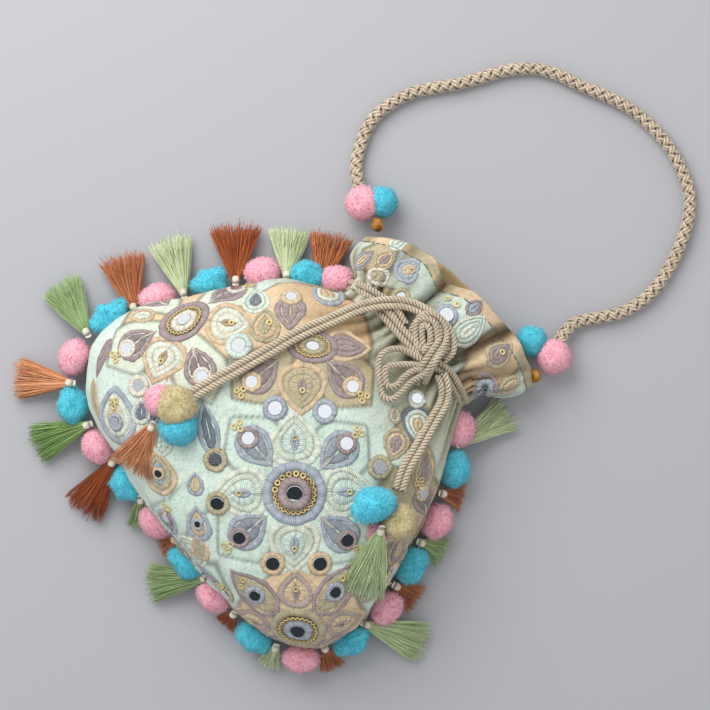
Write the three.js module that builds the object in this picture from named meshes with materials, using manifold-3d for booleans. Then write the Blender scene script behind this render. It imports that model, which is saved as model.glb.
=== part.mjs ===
// Potli bag: a soft drawstring pouch lying on its back, with a gathered frill above the
// drawstring, a braided handle, and pompoms and tassels stitched round its side seam.
// Millimetres. +Z is up, +Y runs along the bag towards its mouth, and the origin is where
// the middle of the back rests on the table.
import * as THREE from "three";
import { mergeVertices } from "three/addons/utils/BufferGeometryUtils.js";
import Module from "manifold-3d";

const wasm = await Module();
wasm.setup();

// Driving dimensions
const GAP = 0.35; // clearance left between pieces that touch
const CLOTH = 3.5; // embroidered cloth and its lining
const NECK_Y = 117.5; // where the drawstring closes the bag, on its centre line
const FRILL_LENGTH = 35; // from the neck to the rim at its shortest
const NECK_TILT = 0.15; // the neck and mouth lie slightly askew
const TILT_START = 75; // below this the pouch lies straight
const MOUTH_FLOOR = 0.25; // how deep the open mouth reaches, as a share of the frill
const POM_RADIUS = 11.2;
const STRAND_RADIUS = 2.6; // twisted drawstring cord
const STRAND_OFFSET = 2.45; // each strand of a doubled cord from its middle
const NECK_CORD_RADIUS = 4;
const BRAID_RADIUS = 4.3;

// Pouch outline: along the bag, half width, top, side seam, underside
const POUCH = [
  [-70, 50, 33, 24, 15],
  [-68, 70, 44, 24, 9],
  [-62, 92, 54, 24, 2],
  [-52, 107, 62, 25, -2],
  [-38, 116, 68, 26, -3],
  [-20, 119, 72, 27, -3],
  [0, 115, 73.5, 27, -3],
  [25, 106, 73, 27, -3],
  [50, 95, 70, 27, -3],
  [75, 82, 65, 26, -2],
  [95, 66, 57, 25, 0],
  [107, 54, 50, 24, 3],
  [NECK_Y, 47.5, 44, 23, 6],
];

// Frill outline: share of the way from the neck to the rim, then as for the pouch
const FRILL = [
  [0, 47.5, 44, 23, 6],
  [0.2, 55, 45, 22, 3],
  [0.45, 64, 45, 21, 1],
  [0.75, 68, 43, 20, 0.5],
  [1, 69, 39, 19, 0.5],
];

// Folds of the frill: across at the rim, width, depth, and which layer they crease
const FOLDS = [
  { across: -3, width: 6, depth: 12, front: true },
  { across: 51, width: 6, depth: 9, front: true },
  { across: -38, width: 8, depth: 4, front: true },
  { across: -24, width: 8, depth: 7, front: false },
  { across: 26, width: 8, depth: 7, front: false },
];
const FOLD_ROOT = 15; // the folds gather at the knot, this far across

const COLOURS = {
  cloth: 0xc3cdb8,
  braid: 0xb9a784,
  cord: 0xb5a588,
  bead: 0xa8701f,
  pink: 0xff98a8,
  turquoise: 0x43b3c8,
  olive: 0xc2b488,
  rust: 0xb9693d,
  peach: 0xd9966f,
  green: 0xa9bd86,
};

// Smooth curve through [position, value, ...] rows that never overshoots them
function through(rows, column, at) {
  const last = rows.length - 1;
  const span = (i) => rows[i + 1][0] - rows[i][0];
  const rise = (i) => (rows[i + 1][column] - rows[i][column]) / span(i);
  const slope = (i) => {
    if (i === 0) return rise(0);
    if (i === last) return rise(last - 1);
    const [before, after] = [rise(i - 1), rise(i)];
    if (before * after <= 0) return 0;
    const a = 2 * span(i) + span(i - 1);
    const b = span(i) + 2 * span(i - 1);
    return (a + b) / (a / before + b / after);
  };
  let i = 0;
  while (i < last - 1 && at > rows[i + 1][0]) i += 1;
  const t = Math.min(1, Math.max(0, (at - rows[i][0]) / span(i)));
  const s = 1 - t;
  return (
    (1 + 2 * t) * s * s * rows[i][column] +
    t * t * (3 - 2 * t) * rows[i + 1][column] +
    t * s * (s * slope(i) - t * slope(i + 1)) * span(i)
  );
}

const signedPower = (value, power) => Math.sign(value) * Math.abs(value) ** power;
const neckLine = (x) => NECK_Y + NECK_TILT * x;
const rimLine = (x) => 148.5 + 0.13 * x + 18.5 * (1 - Math.abs((x - 4) / 69) ** 3);

// One closed section of the bag, flattened where it rests on the table
function section([halfWidth, top, seam, bottom], grow) {
  const SIDES = 32;
  const points = [];
  for (let k = 0; k < SIDES; k += 1) {
    const angle = (2 * Math.PI * k) / SIDES;
    const up = Math.sin(angle) >= 0;
    const roundness = up ? 2 / 2.2 : 2 / 2.8;
    const height = up ? top - seam : seam - bottom;
    const x = (halfWidth + grow) * signedPower(Math.cos(angle), roundness);
    const z = seam + (height + grow) * signedPower(Math.sin(angle), roundness);
    points.push({ x, z: Math.max(z, -grow), up });
  }
  return points;
}

function pouchRing(y, grow) {
  const shape = [1, 2, 3, 4].map((column) => through(POUCH, column, y));
  const lean = NECK_TILT * THREE.MathUtils.smoothstep(y, TILT_START, NECK_Y);
  return section(shape, grow).map(({ x, z }) => new THREE.Vector3(x, y + lean * x, z));
}

function frillRing(share, grow) {
  const shape = [1, 2, 3, 4].map((column) => through(FRILL, column, share));
  return section(shape, grow).map(({ x, z, up }) => {
    let lift = 0;
    for (const fold of FOLDS) {
      const middle = THREE.MathUtils.lerp(FOLD_ROOT, fold.across, share);
      const crease = fold.depth * share * Math.exp(-(((x - middle) / fold.width) ** 2));
      if (fold.front === up) lift += up ? -crease : crease;
    }
    const inward = Math.min(1, Math.abs(z - shape[2]) / 12);
    const y = THREE.MathUtils.lerp(neckLine(x), rimLine(x), share);
    return new THREE.Vector3(x, y, z + lift * inward);
  });
}

// Skins a run of rings and closes both ends
function loft(rings) {
  const sides = rings[0].length;
  const positions = rings.flat().flatMap((point) => point.toArray());
  const indices = [];
  for (let r = 0; r + 1 < rings.length; r += 1) {
    for (let k = 0; k < sides; k += 1) {
      const a = r * sides + k;
      const b = r * sides + ((k + 1) % sides);
      indices.push(a, b + sides, b, a, a + sides, b + sides);
    }
  }
  for (const [ring, flip] of [[0, true], [rings.length - 1, false]]) {
    const centre = new THREE.Vector3();
    rings[ring].forEach((point) => centre.addScaledVector(point, 1 / sides));
    const hub = positions.length / 3;
    positions.push(...centre.toArray());
    for (let k = 0; k < sides; k += 1) {
      const a = ring * sides + k;
      const b = ring * sides + ((k + 1) % sides);
      indices.push(...(flip ? [a, b, hub] : [b, a, hub]));
    }
  }
  const geometry = new THREE.BufferGeometry();
  geometry.setAttribute("position", new THREE.Float32BufferAttribute(positions, 3));
  geometry.setIndex(indices);
  return geometry;
}

function solidOf(geometry) {
  const bare = new THREE.BufferGeometry();
  bare.setAttribute("position", geometry.getAttribute("position"));
  bare.setIndex(geometry.getIndex());
  const merged = mergeVertices(bare, 1e-4);
  const vertProperties = Float32Array.from(merged.getAttribute("position").array);
  const triVerts = Uint32Array.from(merged.getIndex().array);
  return new wasm.Manifold(new wasm.Mesh({ numProp: 3, vertProperties, triVerts }));
}

function geometryOf(solid) {
  const mesh = solid.getMesh();
  const geometry = new THREE.BufferGeometry();
  const positions = new Float32Array(mesh.vertProperties);
  geometry.setAttribute("position", new THREE.BufferAttribute(positions, 3));
  geometry.setIndex(new THREE.BufferAttribute(new Uint32Array(mesh.triVerts), 1));
  geometry.computeVertexNormals();
  return geometry;
}

// Cuts a piece back from its neighbours and keeps what is left of its main part
function clearOf(solid, neighbours) {
  let rest = solid;
  for (const neighbour of neighbours) rest = rest.subtract(neighbour);
  const parts = rest.decompose();
  return parts.sort((a, b) => b.volume() - a.volume())[0];
}

const POUCH_RINGS = [
  -70, -69, -67, -63, -58, -51, -42, -30, -15, 0, 18, 36, 54, 70, 84, 96, 107, NECK_Y,
];

// The bag itself, or with grow above 0 the slightly larger space its neighbours keep out of
function bagGeometry(grow) {
  const rings = POUCH_RINGS.map((y, i) => pouchRing(i === 0 ? y - grow : y, grow));
  const outward = [0.2, 0.45, 0.7, 1 + grow / FRILL_LENGTH];
  outward.forEach((share) => rings.push(frillRing(share, grow)));
  const inward = grow > 0 ? [1] : outward.filter((share) => share > MOUTH_FLOOR).reverse();
  inward.forEach((share) => rings.push(frillRing(share + grow / FRILL_LENGTH, -CLOTH)));
  if (grow === 0) rings.push(frillRing(MOUTH_FLOOR, -CLOTH - 2));
  return loft(rings);
}

function ball([x, y, z], radius, stretch = [1, 1, 1]) {
  const geometry = new THREE.SphereGeometry(radius, 10, 7);
  geometry.scale(...stretch);
  geometry.translate(x, y, z);
  return solidOf(geometry);
}

// A bare pompom and the slightly larger one that its neighbours are cut back from
function pompom(centre, radius = POM_RADIUS) {
  return { solid: ball(centre, radius), keepOut: ball(centre, radius + GAP) };
}

function tube(route, radius, steps, sides = 8) {
  const points = route.map((point) => new THREE.Vector3(...point));
  const path = new THREE.CatmullRomCurve3(points);
  const outline = new THREE.Shape(
    Array.from({ length: sides }, (_, k) => {
      const angle = (2 * Math.PI * (k + 0.5)) / sides;
      return new THREE.Vector2(radius * Math.cos(angle), radius * Math.sin(angle));
    }),
  );
  const settings = { steps, extrudePath: path, bevelEnabled: false };
  return solidOf(new THREE.ExtrudeGeometry(outline, settings));
}

// Moves a route sideways in plan, for one strand of a doubled cord
function beside(route, offset) {
  return route.map((point, i) => {
    const before = route[Math.max(0, i - 1)];
    const after = route[Math.min(route.length - 1, i + 1)];
    const run = Math.hypot(after[0] - before[0], after[1] - before[1]);
    const acrossX = -(after[1] - before[1]) / run;
    const acrossY = (after[0] - before[0]) / run;
    return [point[0] + acrossX * offset, point[1] + acrossY * offset, point[2]];
  });
}

function doubledCord(route, steps) {
  const left = tube(beside(route, STRAND_OFFSET), STRAND_RADIUS, steps);
  return left.add(tube(beside(route, -STRAND_OFFSET), STRAND_RADIUS, steps));
}

// A fan of threads from its bound head to its cut ends, flattened where it lies
function tassel(head, tip, spread, thickness = 4.5) {
  const from = new THREE.Vector3(...head);
  const along = new THREE.Vector3(...tip).sub(from);
  const length = along.length();
  along.normalize();
  const profile = [[0, 0], [0.18, 0], [0.3, 0.25], [0.96, 0.92], [0.9, 1], [0, 1]].map(([r, y]) => new THREE.Vector2(r * spread, y * length));
  const geometry = new THREE.LatheGeometry(profile, 8);
  geometry.scale(1, 1, thickness / spread);
  const across = new THREE.Vector3().crossVectors(along, new THREE.Vector3(0, 0, 1)).normalize();
  const up = new THREE.Vector3().crossVectors(across, along);
  const basis = new THREE.Matrix4().makeBasis(across, along, up).setPosition(from);
  geometry.applyMatrix4(basis);
  return solidOf(geometry);
}

const bag = new THREE.Group();

// Adds a finished solid as a mesh whose own origin is the middle of its box
function add(name, solid, colour, roughness = 0.9, metalness = 0) {
  const geometry = geometryOf(solid);
  geometry.computeBoundingBox();
  const middle = geometry.boundingBox.getCenter(new THREE.Vector3());
  geometry.translate(-middle.x, -middle.y, -middle.z);
  const material = new THREE.MeshStandardMaterial({ color: colour, roughness, metalness });
  const mesh = new THREE.Mesh(geometry, material);
  mesh.name = name;
  mesh.position.copy(middle);
  bag.add(mesh);
}

// Pouch and frill, one piece of cloth
const cloth = new THREE.MeshStandardMaterial({ color: COLOURS.cloth, roughness: 0.85 });
const body = new THREE.Mesh(bagGeometry(0), cloth);
body.name = "bag_body";
bag.add(body);
const bodyKeepOut = solidOf(bagGeometry(GAP));

// Drawstring: round the neck, into the knot, with a bow loop and two tails
const KNOT = [17, 122, 49];
const NECK_CORD = [
  [14, 121, 49], [0, 118.5, 49], [-14, 115.5, 47.6], [-28, 113.5, 44.5], [-40, 111.5, 39],
  [-48, 110.5, 31], [-51.5, 110, 22], [-46, 110.5, 9], [-30, 113, 4.5], [0, 117.5, 4.3],
  [30, 122, 4.5], [46, 124.5, 9], [51.5, 125, 22], [48, 124.5, 31], [40, 123.5, 39],
  [30, 122.5, 44.5], [20, 122, 48],
];
const BOW_OUTER = [
  [13, 119, 51], [0, 114, 53], [-5, 110, 54], [-6.5, 102, 57], [-2, 93, 62], [6, 86.5, 65],
  [15, 84, 65.5], [20, 90, 63], [20.5, 99, 60], [20.5, 108, 56], [20, 115, 52],
];
const BOW_INNER = [
  [14, 117, 54], [5, 111, 57], [-1, 103, 61], [1, 96, 65], [5.5, 95, 66.5], [10.5, 97, 65],
  [13.5, 102, 62], [15.5, 109, 58], [17, 116, 54],
];
const TAIL_LEFT = [
  [20, 126, 51], [19.5, 133, 49.5], [9, 139, 49.5], [-5, 137, 49.5], [-18, 131, 50],
  [-28, 120, 52.5], [-35, 106, 54.5], [-40, 87, 61.5], [-45, 68, 67], [-48, 47, 71],
  [-52, 20, 74], [-55, 0, 75],
];
const TAIL_RIGHT = [
  [27, 120, 53], [35, 117, 52.5], [41.5, 111, 49.5], [47, 98, 53], [53.5, 82, 59],
  [59, 68, 62], [66.5, 56.5, 62.5],
];

const knot = ball(KNOT, 9, [1.15, 1, 0.8]);
const tie = [
  tube(NECK_CORD, NECK_CORD_RADIUS, 34),
  tube(BOW_OUTER, STRAND_RADIUS, 20),
  tube(BOW_INNER, STRAND_RADIUS, 16),
].reduce((whole, cord) => whole.add(cord), knot);
const tieSolid = clearOf(tie, [bodyKeepOut]);
add("drawstring_tie", tieSolid, COLOURS.cord);
const tieKeepOut = [
  ball(KNOT, 9 + GAP, [1.15, 1, 0.8]),
  tube(NECK_CORD, NECK_CORD_RADIUS + GAP, 34),
  tube(BOW_OUTER, STRAND_RADIUS + GAP, 20),
  tube(BOW_INNER, STRAND_RADIUS + GAP, 16),
];

// Pompoms and a tassel at the end of each tail
const CLUSTERS = {
  left: {
    poms: [["olive", [-56, -17, 79], 11.5], ["turquoise", [-46, -24, 74], 11.5],
      ["pink", [-64, -19, 74], 11]],
    head: [-56, -36, 71],
    tip: [-44, -64, 58],
    colour: "peach",
  },
  right: {
    poms: [["turquoise", [63, 37, 75], 12], ["olive", [82, 45, 68], 11],
      ["pink", [75, 31, 68], 9]],
    head: [78, 32, 67],
    tip: [100, 4, 57],
    colour: "green",
  },
};
const TAILS = { left: [TAIL_LEFT, 26], right: [TAIL_RIGHT, 14] };
for (const [side, cluster] of Object.entries(CLUSTERS)) {
  const placed = [];
  for (const [colour, centre, radius] of cluster.poms) {
    const pom = pompom(centre, radius);
    const solid = clearOf(pom.solid, [bodyKeepOut, ...placed]);
    placed.push(pom.keepOut);
    add(`tail_${side}_pom_${colour}`, solid, COLOURS[colour]);
  }
  const fan = clearOf(tassel(cluster.head, cluster.tip, 15), [bodyKeepOut, ...placed]);
  add(`tail_${side}_tassel_${cluster.colour}`, fan, COLOURS[cluster.colour]);
  const cord = doubledCord(...TAILS[side]);
  const free = clearOf(cord, [bodyKeepOut, ...tieKeepOut, ...placed]);
  add(`drawstring_tail_${side}`, free, COLOURS.cord);
}

// Handle: a round braid lying in a wide arch, with two pompoms and a bead at each end
const HANDLE = [
  [-88, 148, 13], [-98, 153.5, 8], [-108, 160, 5], [-116, 170, 4.7], [-122, 180, 4.7],
  [-125, 192, 4.7], [-124, 206, 4.7], [-121, 218, 4.7], [-115, 230, 4.7], [-108, 243, 4.7],
  [-103, 255, 4.7], [-97, 270, 4.7], [-87, 285, 4.7], [-76, 294, 4.7], [-60, 302, 4.7],
  [-46, 310, 4.7], [-31, 317, 4.7], [-14, 321, 4.7], [3, 322, 4.7], [17, 320, 4.7],
  [33, 315, 4.7], [46, 305, 4.7], [57, 290, 4.7], [66, 270, 4.7], [70, 253, 4.7],
  [68, 235, 4.7], [61, 220, 4.8], [55, 207, 5.5], [56, 196, 9], [61, 187, 13],
];
const HANDLE_ENDS = {
  left: { pink: [-86, 148, 14], turquoise: [-78, 160, 12.5], bead: [-69.5, 147, 18] },
  right: { pink: [63, 183, 14], turquoise: [47, 178, 12.5], bead: [65, 166, 18] },
};
const handlePoms = [];
for (const [side, end] of Object.entries(HANDLE_ENDS)) {
  const pink = pompom(end.pink, 11.5);
  const turquoise = pompom(end.turquoise, 10.5);
  add(`handle_${side}_pom_pink`, clearOf(pink.solid, [bodyKeepOut]), COLOURS.pink);
  const cut = clearOf(turquoise.solid, [bodyKeepOut, pink.keepOut]);
  add(`handle_${side}_pom_turquoise`, cut, COLOURS.turquoise);
  const bead = clearOf(ball(end.bead, 4.8, [1, 0.85, 1]), [
    bodyKeepOut, pink.keepOut, turquoise.keepOut,
  ]);
  add(`handle_${side}_bead`, bead, COLOURS.bead, 0.25, 0.3);
  handlePoms.push(pink.keepOut, turquoise.keepOut);
}
const braid = clearOf(tube(HANDLE, BRAID_RADIUS, 50), handlePoms);
add("handle_braid", braid, COLOURS.braid);

// Pompoms round the seam, from the left of the neck down, along the bottom and up again
const SEAM_POMS = [
  ["pink", -57, 106, 19], ["turquoise", -72, 93, 16], ["pink", -90, 72, 15],
  ["turquoise", -105, 42, 15], ["pink", -118, 10, 15], ["turquoise", -127, -20, 15],
  ["pink", -121, -53, 14], ["turquoise", -98, -72, 14], ["pink", -68, -76, 14],
  ["turquoise", -38, -76, 14], ["pink", -9, -76, 14], ["turquoise", 23, -76, 14],
  ["pink", 50, -76, 14], ["turquoise", 86, -72, 14], ["pink", 114, -57, 14],
  ["turquoise", 124, -25, 14], ["pink", 122, 4, 15], ["turquoise", 111, 33, 15],
  ["pink", 99, 62, 15], ["turquoise", 80, 91, 16], ["pink", 62, 109, 19],
];
const seamPoms = [];
SEAM_POMS.forEach(([colour, ...centre], i) => {
  const pom = pompom(centre);
  const number = String(i + 1).padStart(2, "0");
  const solid = clearOf(pom.solid, [bodyKeepOut, ...seamPoms, ...tieKeepOut]);
  add(`seam_pom_${number}_${colour}`, solid, COLOURS[colour]);
  seamPoms.push(pom.keepOut);
});

// Tassels between them: colour, head and tip in plan, half width of the fan
const SEAM_TASSELS = [
  ["rust", -63, 98, -82, 120, 15], ["green", -81, 84, -101, 101, 14],
  ["rust", -98, 57, -123, 76, 18], ["green", -112, 26, -142, 38, 15],
  ["rust", -124, -4, -152, 8, 16], ["green", -130, -37, -162, -33, 15],
  ["peach", -111, -66, -133, -90, 14], ["green", -83, -74, -93, -106, 14],
  ["rust", -54, -76, -43, -108, 15], ["green", -24, -76, -12, -86, 10],
  ["rust", 7, -75, 4, -84, 10], ["green", 37, -75, 20, -103, 13],
  ["rust", 67, -75, 69, -86, 9], ["green", 100, -67, 108, -80, 9],
  ["rust", 120, -42, 136, -48, 10], ["green", 124, -11, 154, 8, 14],
  ["rust", 117, 18, 131, 22, 11], ["green", 105, 47, 118, 53, 11],
  ["rust", 89, 77, 98, 84, 10], ["green", 70, 106, 73, 138, 13],
];
const HEAD_HEIGHT = 19;
const TIP_HEIGHT = 5.5;
const SHORT = 20;
let neighbourFan = [];
SEAM_TASSELS.forEach(([colour, headX, headY, tipX, tipY, spread], i) => {
  const head = [headX, headY, HEAD_HEIGHT];
  const tip = [tipX, tipY, TIP_HEIGHT];
  const number = String(i + 1).padStart(2, "0");
  const thickness = Math.hypot(tipX - headX, tipY - headY) < SHORT ? 5.5 : 4.8;
  const fan = tassel(head, tip, spread, thickness);
  const solid = clearOf(fan, [bodyKeepOut, ...seamPoms, ...tieKeepOut, ...neighbourFan]);
  add(`seam_tassel_${number}_${colour}`, solid, COLOURS[colour]);
  neighbourFan = [tassel(head, tip, spread + GAP, thickness + GAP)];
});

export default bag;
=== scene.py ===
"""A potli bag: an embroidered drawstring pouch lying on its back, with a gathered frill,
a knotted cord, a braided handle, and pompoms and tassels stitched round its seam.

The frame is the bag's own: +Z up, +Y along the bag towards its mouth, and the origin where
the middle of the back rests. Shapes are worked out in millimetres and built in metres.
"""
import math

import bpy
import numpy as np
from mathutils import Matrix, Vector
from mathutils.bvhtree import BVHTree


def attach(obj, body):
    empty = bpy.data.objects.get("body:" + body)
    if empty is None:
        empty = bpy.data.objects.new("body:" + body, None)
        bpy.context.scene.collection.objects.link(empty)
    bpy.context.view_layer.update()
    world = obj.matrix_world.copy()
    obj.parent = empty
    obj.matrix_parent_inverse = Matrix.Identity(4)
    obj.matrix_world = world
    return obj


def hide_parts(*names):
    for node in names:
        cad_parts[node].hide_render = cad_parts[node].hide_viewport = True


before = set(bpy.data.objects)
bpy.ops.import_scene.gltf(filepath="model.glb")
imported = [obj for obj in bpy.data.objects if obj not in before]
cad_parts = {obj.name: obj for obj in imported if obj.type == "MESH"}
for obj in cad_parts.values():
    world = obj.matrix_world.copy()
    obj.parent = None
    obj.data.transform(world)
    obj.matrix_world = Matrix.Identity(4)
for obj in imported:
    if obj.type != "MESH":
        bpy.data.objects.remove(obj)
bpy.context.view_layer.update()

MM = 0.001
BODY = "root"
rng = np.random.default_rng(11)

# Colours as they look, in sRGB from 0 to 1
MINT = (0.825, 0.885, 0.835)
PALE_MINT = (0.88, 0.90, 0.83)
WARM_MINT = (0.84, 0.87, 0.79)
PEACH = (0.86, 0.76, 0.62)
CREAM = (0.90, 0.87, 0.80)
GREY_BLUE = (0.68, 0.71, 0.75)
SLATE = (0.47, 0.51, 0.56)
MAUVE = (0.66, 0.59, 0.59)
KHAKI = (0.74, 0.70, 0.57)
GOLD = (0.84, 0.74, 0.51)
PINK = (1.0, 0.74, 0.80)
TURQUOISE = (0.36, 0.82, 0.90)
OLIVE = (0.83, 0.77, 0.59)
RUST = (0.74, 0.38, 0.17)
COPPER = (0.80, 0.51, 0.33)
TERRACOTTA = (0.93, 0.68, 0.50)
DEEP_GREEN = (0.62, 0.74, 0.45)
GREEN = (0.68, 0.77, 0.54)
PALE_GREEN = (0.86, 0.90, 0.74)
MID_GREEN = (0.80, 0.86, 0.68)
CORD_BEIGE = (0.79, 0.73, 0.63)
BRAID_BEIGE = (0.76, 0.69, 0.60)
CORD_GOLD = (0.68, 0.58, 0.40)
LINING = (0.70, 0.60, 0.43)
FLOOR_GREY = (0.695, 0.695, 0.71)
HEM_TEAL = (0.33, 0.43, 0.46)


def linear(colour):
    """An sRGB colour as the linear numbers that a shader takes."""
    c = np.asarray(colour, float)
    return np.where(c <= 0.04045, c / 12.92, ((c + 0.055) / 1.055) ** 2.4)


# Camera, light and floor

CAMERA_HEIGHT = 1.6
VIEW_CENTRE = (-0.0142, 0.0859)
FLOOR_WIDTH_SEEN = 0.4473
IMAGE_RIGHT = Vector((0.6157, 0.7880, 0))
IMAGE_UP = Vector((-0.7880, 0.6157, 0))
SENSOR = 36.0
FLOOR_SIZE = 6
# Where the lamp stands: up and left in the picture and how high, as a direction
WINDOW_UP, WINDOW_LEFT, WINDOW_HIGH = 0.95, 0.55, 1.1
WINDOW_DISTANCE = 1.2
WINDOW_SIZE = 0.9
WINDOW_WATTS = 12.5
SKY = (0.97, 0.985, 1.0)
SKY_STRENGTH = 0.70
BACKDROP_GREY = (0.80, 0.805, 0.815)
# The dark that shiny things show low in the picture, and where it begins and is full
DARK_ZONE = (0.03, 0.035, 0.04)
DARK_FROM, DARK_FULL = 0.08, 0.2


def add_camera():
    data = bpy.data.cameras.new("camera")
    data.sensor_width = SENSOR
    data.lens = SENSOR * CAMERA_HEIGHT / FLOOR_WIDTH_SEEN
    data.clip_start = 0.05
    camera = bpy.data.objects.new("camera", data)
    bpy.context.scene.collection.objects.link(camera)
    camera.location = (*VIEW_CENTRE, CAMERA_HEIGHT)
    camera.rotation_euler = (0, 0, math.atan2(IMAGE_RIGHT.y, IMAGE_RIGHT.x))
    bpy.context.scene.camera = camera


def add_window():
    """A square soft lamp to one side of the bag. Shiny things don't show it."""
    data = bpy.data.lights.new("window", "AREA")
    data.shape = "SQUARE"
    data.size = WINDOW_SIZE
    data.energy = WINDOW_WATTS
    lamp = bpy.data.objects.new("window", data)
    bpy.context.scene.collection.objects.link(lamp)
    lamp.visible_glossy = False
    target = Vector((*VIEW_CENTRE, 0))
    towards = IMAGE_UP * WINDOW_UP - IMAGE_RIGHT * WINDOW_LEFT
    towards.z = WINDOW_HIGH
    lamp.location = target + towards.normalized() * WINDOW_DISTANCE
    lamp.rotation_euler = (target - lamp.location).to_track_quat("-Z", "Y").to_euler()


def add_floor():
    bpy.ops.mesh.primitive_plane_add(size=FLOOR_SIZE, location=(*VIEW_CENTRE, 0))
    floor = bpy.context.object
    floor.name = "floor"
    material = new_material("floor_paint")
    shader = material.node_tree.nodes["Principled BSDF"]
    shader.inputs["Base Color"].default_value = (*linear(FLOOR_GREY), 1)
    shader.inputs["Roughness"].default_value = 0.85
    floor.data.materials.append(material)


def new_material(name):
    material = bpy.data.materials.new(name)
    material.use_nodes = True
    return material


def set_world():
    """Even pale light, with a dark zone low in the picture that only shiny things show."""
    world = bpy.data.worlds.new("world")
    bpy.context.scene.world = world
    world.use_nodes = True
    tree = world.node_tree
    nodes, links = tree.nodes, tree.links
    nodes.clear()
    output = nodes.new("ShaderNodeOutputWorld")
    light = nodes.new("ShaderNodeBackground")
    light.inputs["Color"].default_value = (*SKY, 1)
    light.inputs["Strength"].default_value = SKY_STRENGTH
    seen = nodes.new("ShaderNodeBackground")
    seen.inputs["Strength"].default_value = 1.0
    ways = nodes.new("ShaderNodeTexCoord")
    along = nodes.new("ShaderNodeVectorMath")
    along.operation = "DOT_PRODUCT"
    along.inputs[1].default_value = -IMAGE_UP
    shades = nodes.new("ShaderNodeValToRGB")
    start, full = shades.color_ramp.elements
    start.position = DARK_FROM
    start.color = (1, 1, 1, 1)
    full.position = DARK_FULL
    full.color = (*DARK_ZONE, 1)
    path = nodes.new("ShaderNodeLightPath")
    glossy = nodes.new("ShaderNodeMixShader")
    camera = nodes.new("ShaderNodeMixShader")
    backdrop = nodes.new("ShaderNodeBackground")
    backdrop.inputs["Color"].default_value = (*linear(BACKDROP_GREY), 1)
    links.new(ways.outputs["Generated"], along.inputs[0])
    links.new(along.outputs["Value"], shades.inputs["Fac"])
    links.new(shades.outputs["Color"], seen.inputs["Color"])
    links.new(path.outputs["Is Glossy Ray"], glossy.inputs["Fac"])
    links.new(light.outputs[0], glossy.inputs[1])
    links.new(seen.outputs[0], glossy.inputs[2])
    links.new(path.outputs["Is Camera Ray"], camera.inputs["Fac"])
    links.new(glossy.outputs[0], camera.inputs[1])
    links.new(backdrop.outputs[0], camera.inputs[2])
    links.new(camera.outputs[0], output.inputs["Surface"])


# Mesh building

def build(name, verts, quads=(), tris=(), tint=None, thread=None):
    """A mesh object from millimetre points and faces, with a colour and thread lines."""
    quads = np.asarray(quads, np.int32).reshape(-1, 4)
    tris = np.asarray(tris, np.int32).reshape(-1, 3)
    mesh = bpy.data.meshes.new(name)
    mesh.vertices.add(len(verts))
    mesh.vertices.foreach_set("co", (np.asarray(verts) * MM).astype(np.float32).ravel())
    mesh.loops.add(quads.size + tris.size)
    mesh.loops.foreach_set("vertex_index", np.concatenate([quads.ravel(), tris.ravel()]))
    starts = np.concatenate([
        np.arange(len(quads)) * 4,
        quads.size + np.arange(len(tris)) * 3,
    ])
    mesh.polygons.add(len(starts))
    mesh.polygons.foreach_set("loop_start", starts.astype(np.int32))
    mesh.update(calc_edges=True)
    mesh.validate()
    mesh.polygons.foreach_set("use_smooth", np.ones(len(mesh.polygons), bool))
    if tint is not None:
        colours = np.ones((len(verts), 4), np.float32)
        colours[:, :3] = linear(tint)
        layer = mesh.color_attributes.new("tint", "FLOAT_COLOR", "POINT")
        layer.data.foreach_set("color", colours.ravel())
    if thread is not None:
        layer = mesh.attributes.new("thread", "FLOAT_VECTOR", "POINT")
        layer.data.foreach_set("vector", np.asarray(thread, np.float32).ravel())
    made = bpy.data.objects.new(name, mesh)
    bpy.context.scene.collection.objects.link(made)
    return made


def finish_piece(made, material, replaced=()):
    """Gives a piece its finish and its body, and hides the CAD nodes that it stands for."""
    made.data.materials.clear()
    made.data.materials.append(material)
    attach(made, BODY)
    if replaced:
        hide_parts(*replaced)
    return made


class Heap:
    """Gathers many small shells into one mesh."""

    def __init__(self):
        self.verts, self.quads, self.tris, self.tint, self.thread = [], [], [], [], []
        self.count = 0

    def add(self, verts, quads=(), tris=(), tint=MINT, thread=None):
        verts = np.asarray(verts, float)
        tint = np.broadcast_to(np.asarray(tint, float), (len(verts), 3))
        thread = np.zeros((len(verts), 3)) if thread is None else np.asarray(thread)
        self.verts.append(verts)
        self.tint.append(tint)
        self.thread.append(thread)
        if len(quads):
            self.quads.append(np.asarray(quads, int).reshape(-1, 4) + self.count)
        if len(tris):
            self.tris.append(np.asarray(tris, int).reshape(-1, 3) + self.count)
        self.count += len(verts)

    def build(self, name):
        none = np.zeros((0, 4), int)
        quads = np.concatenate(self.quads) if self.quads else none
        tris = np.concatenate(self.tris) if self.tris else none[:, :3]
        verts, tint = np.concatenate(self.verts), np.concatenate(self.tint)
        return build(name, verts, quads, tris, tint, np.concatenate(self.thread))


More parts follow.
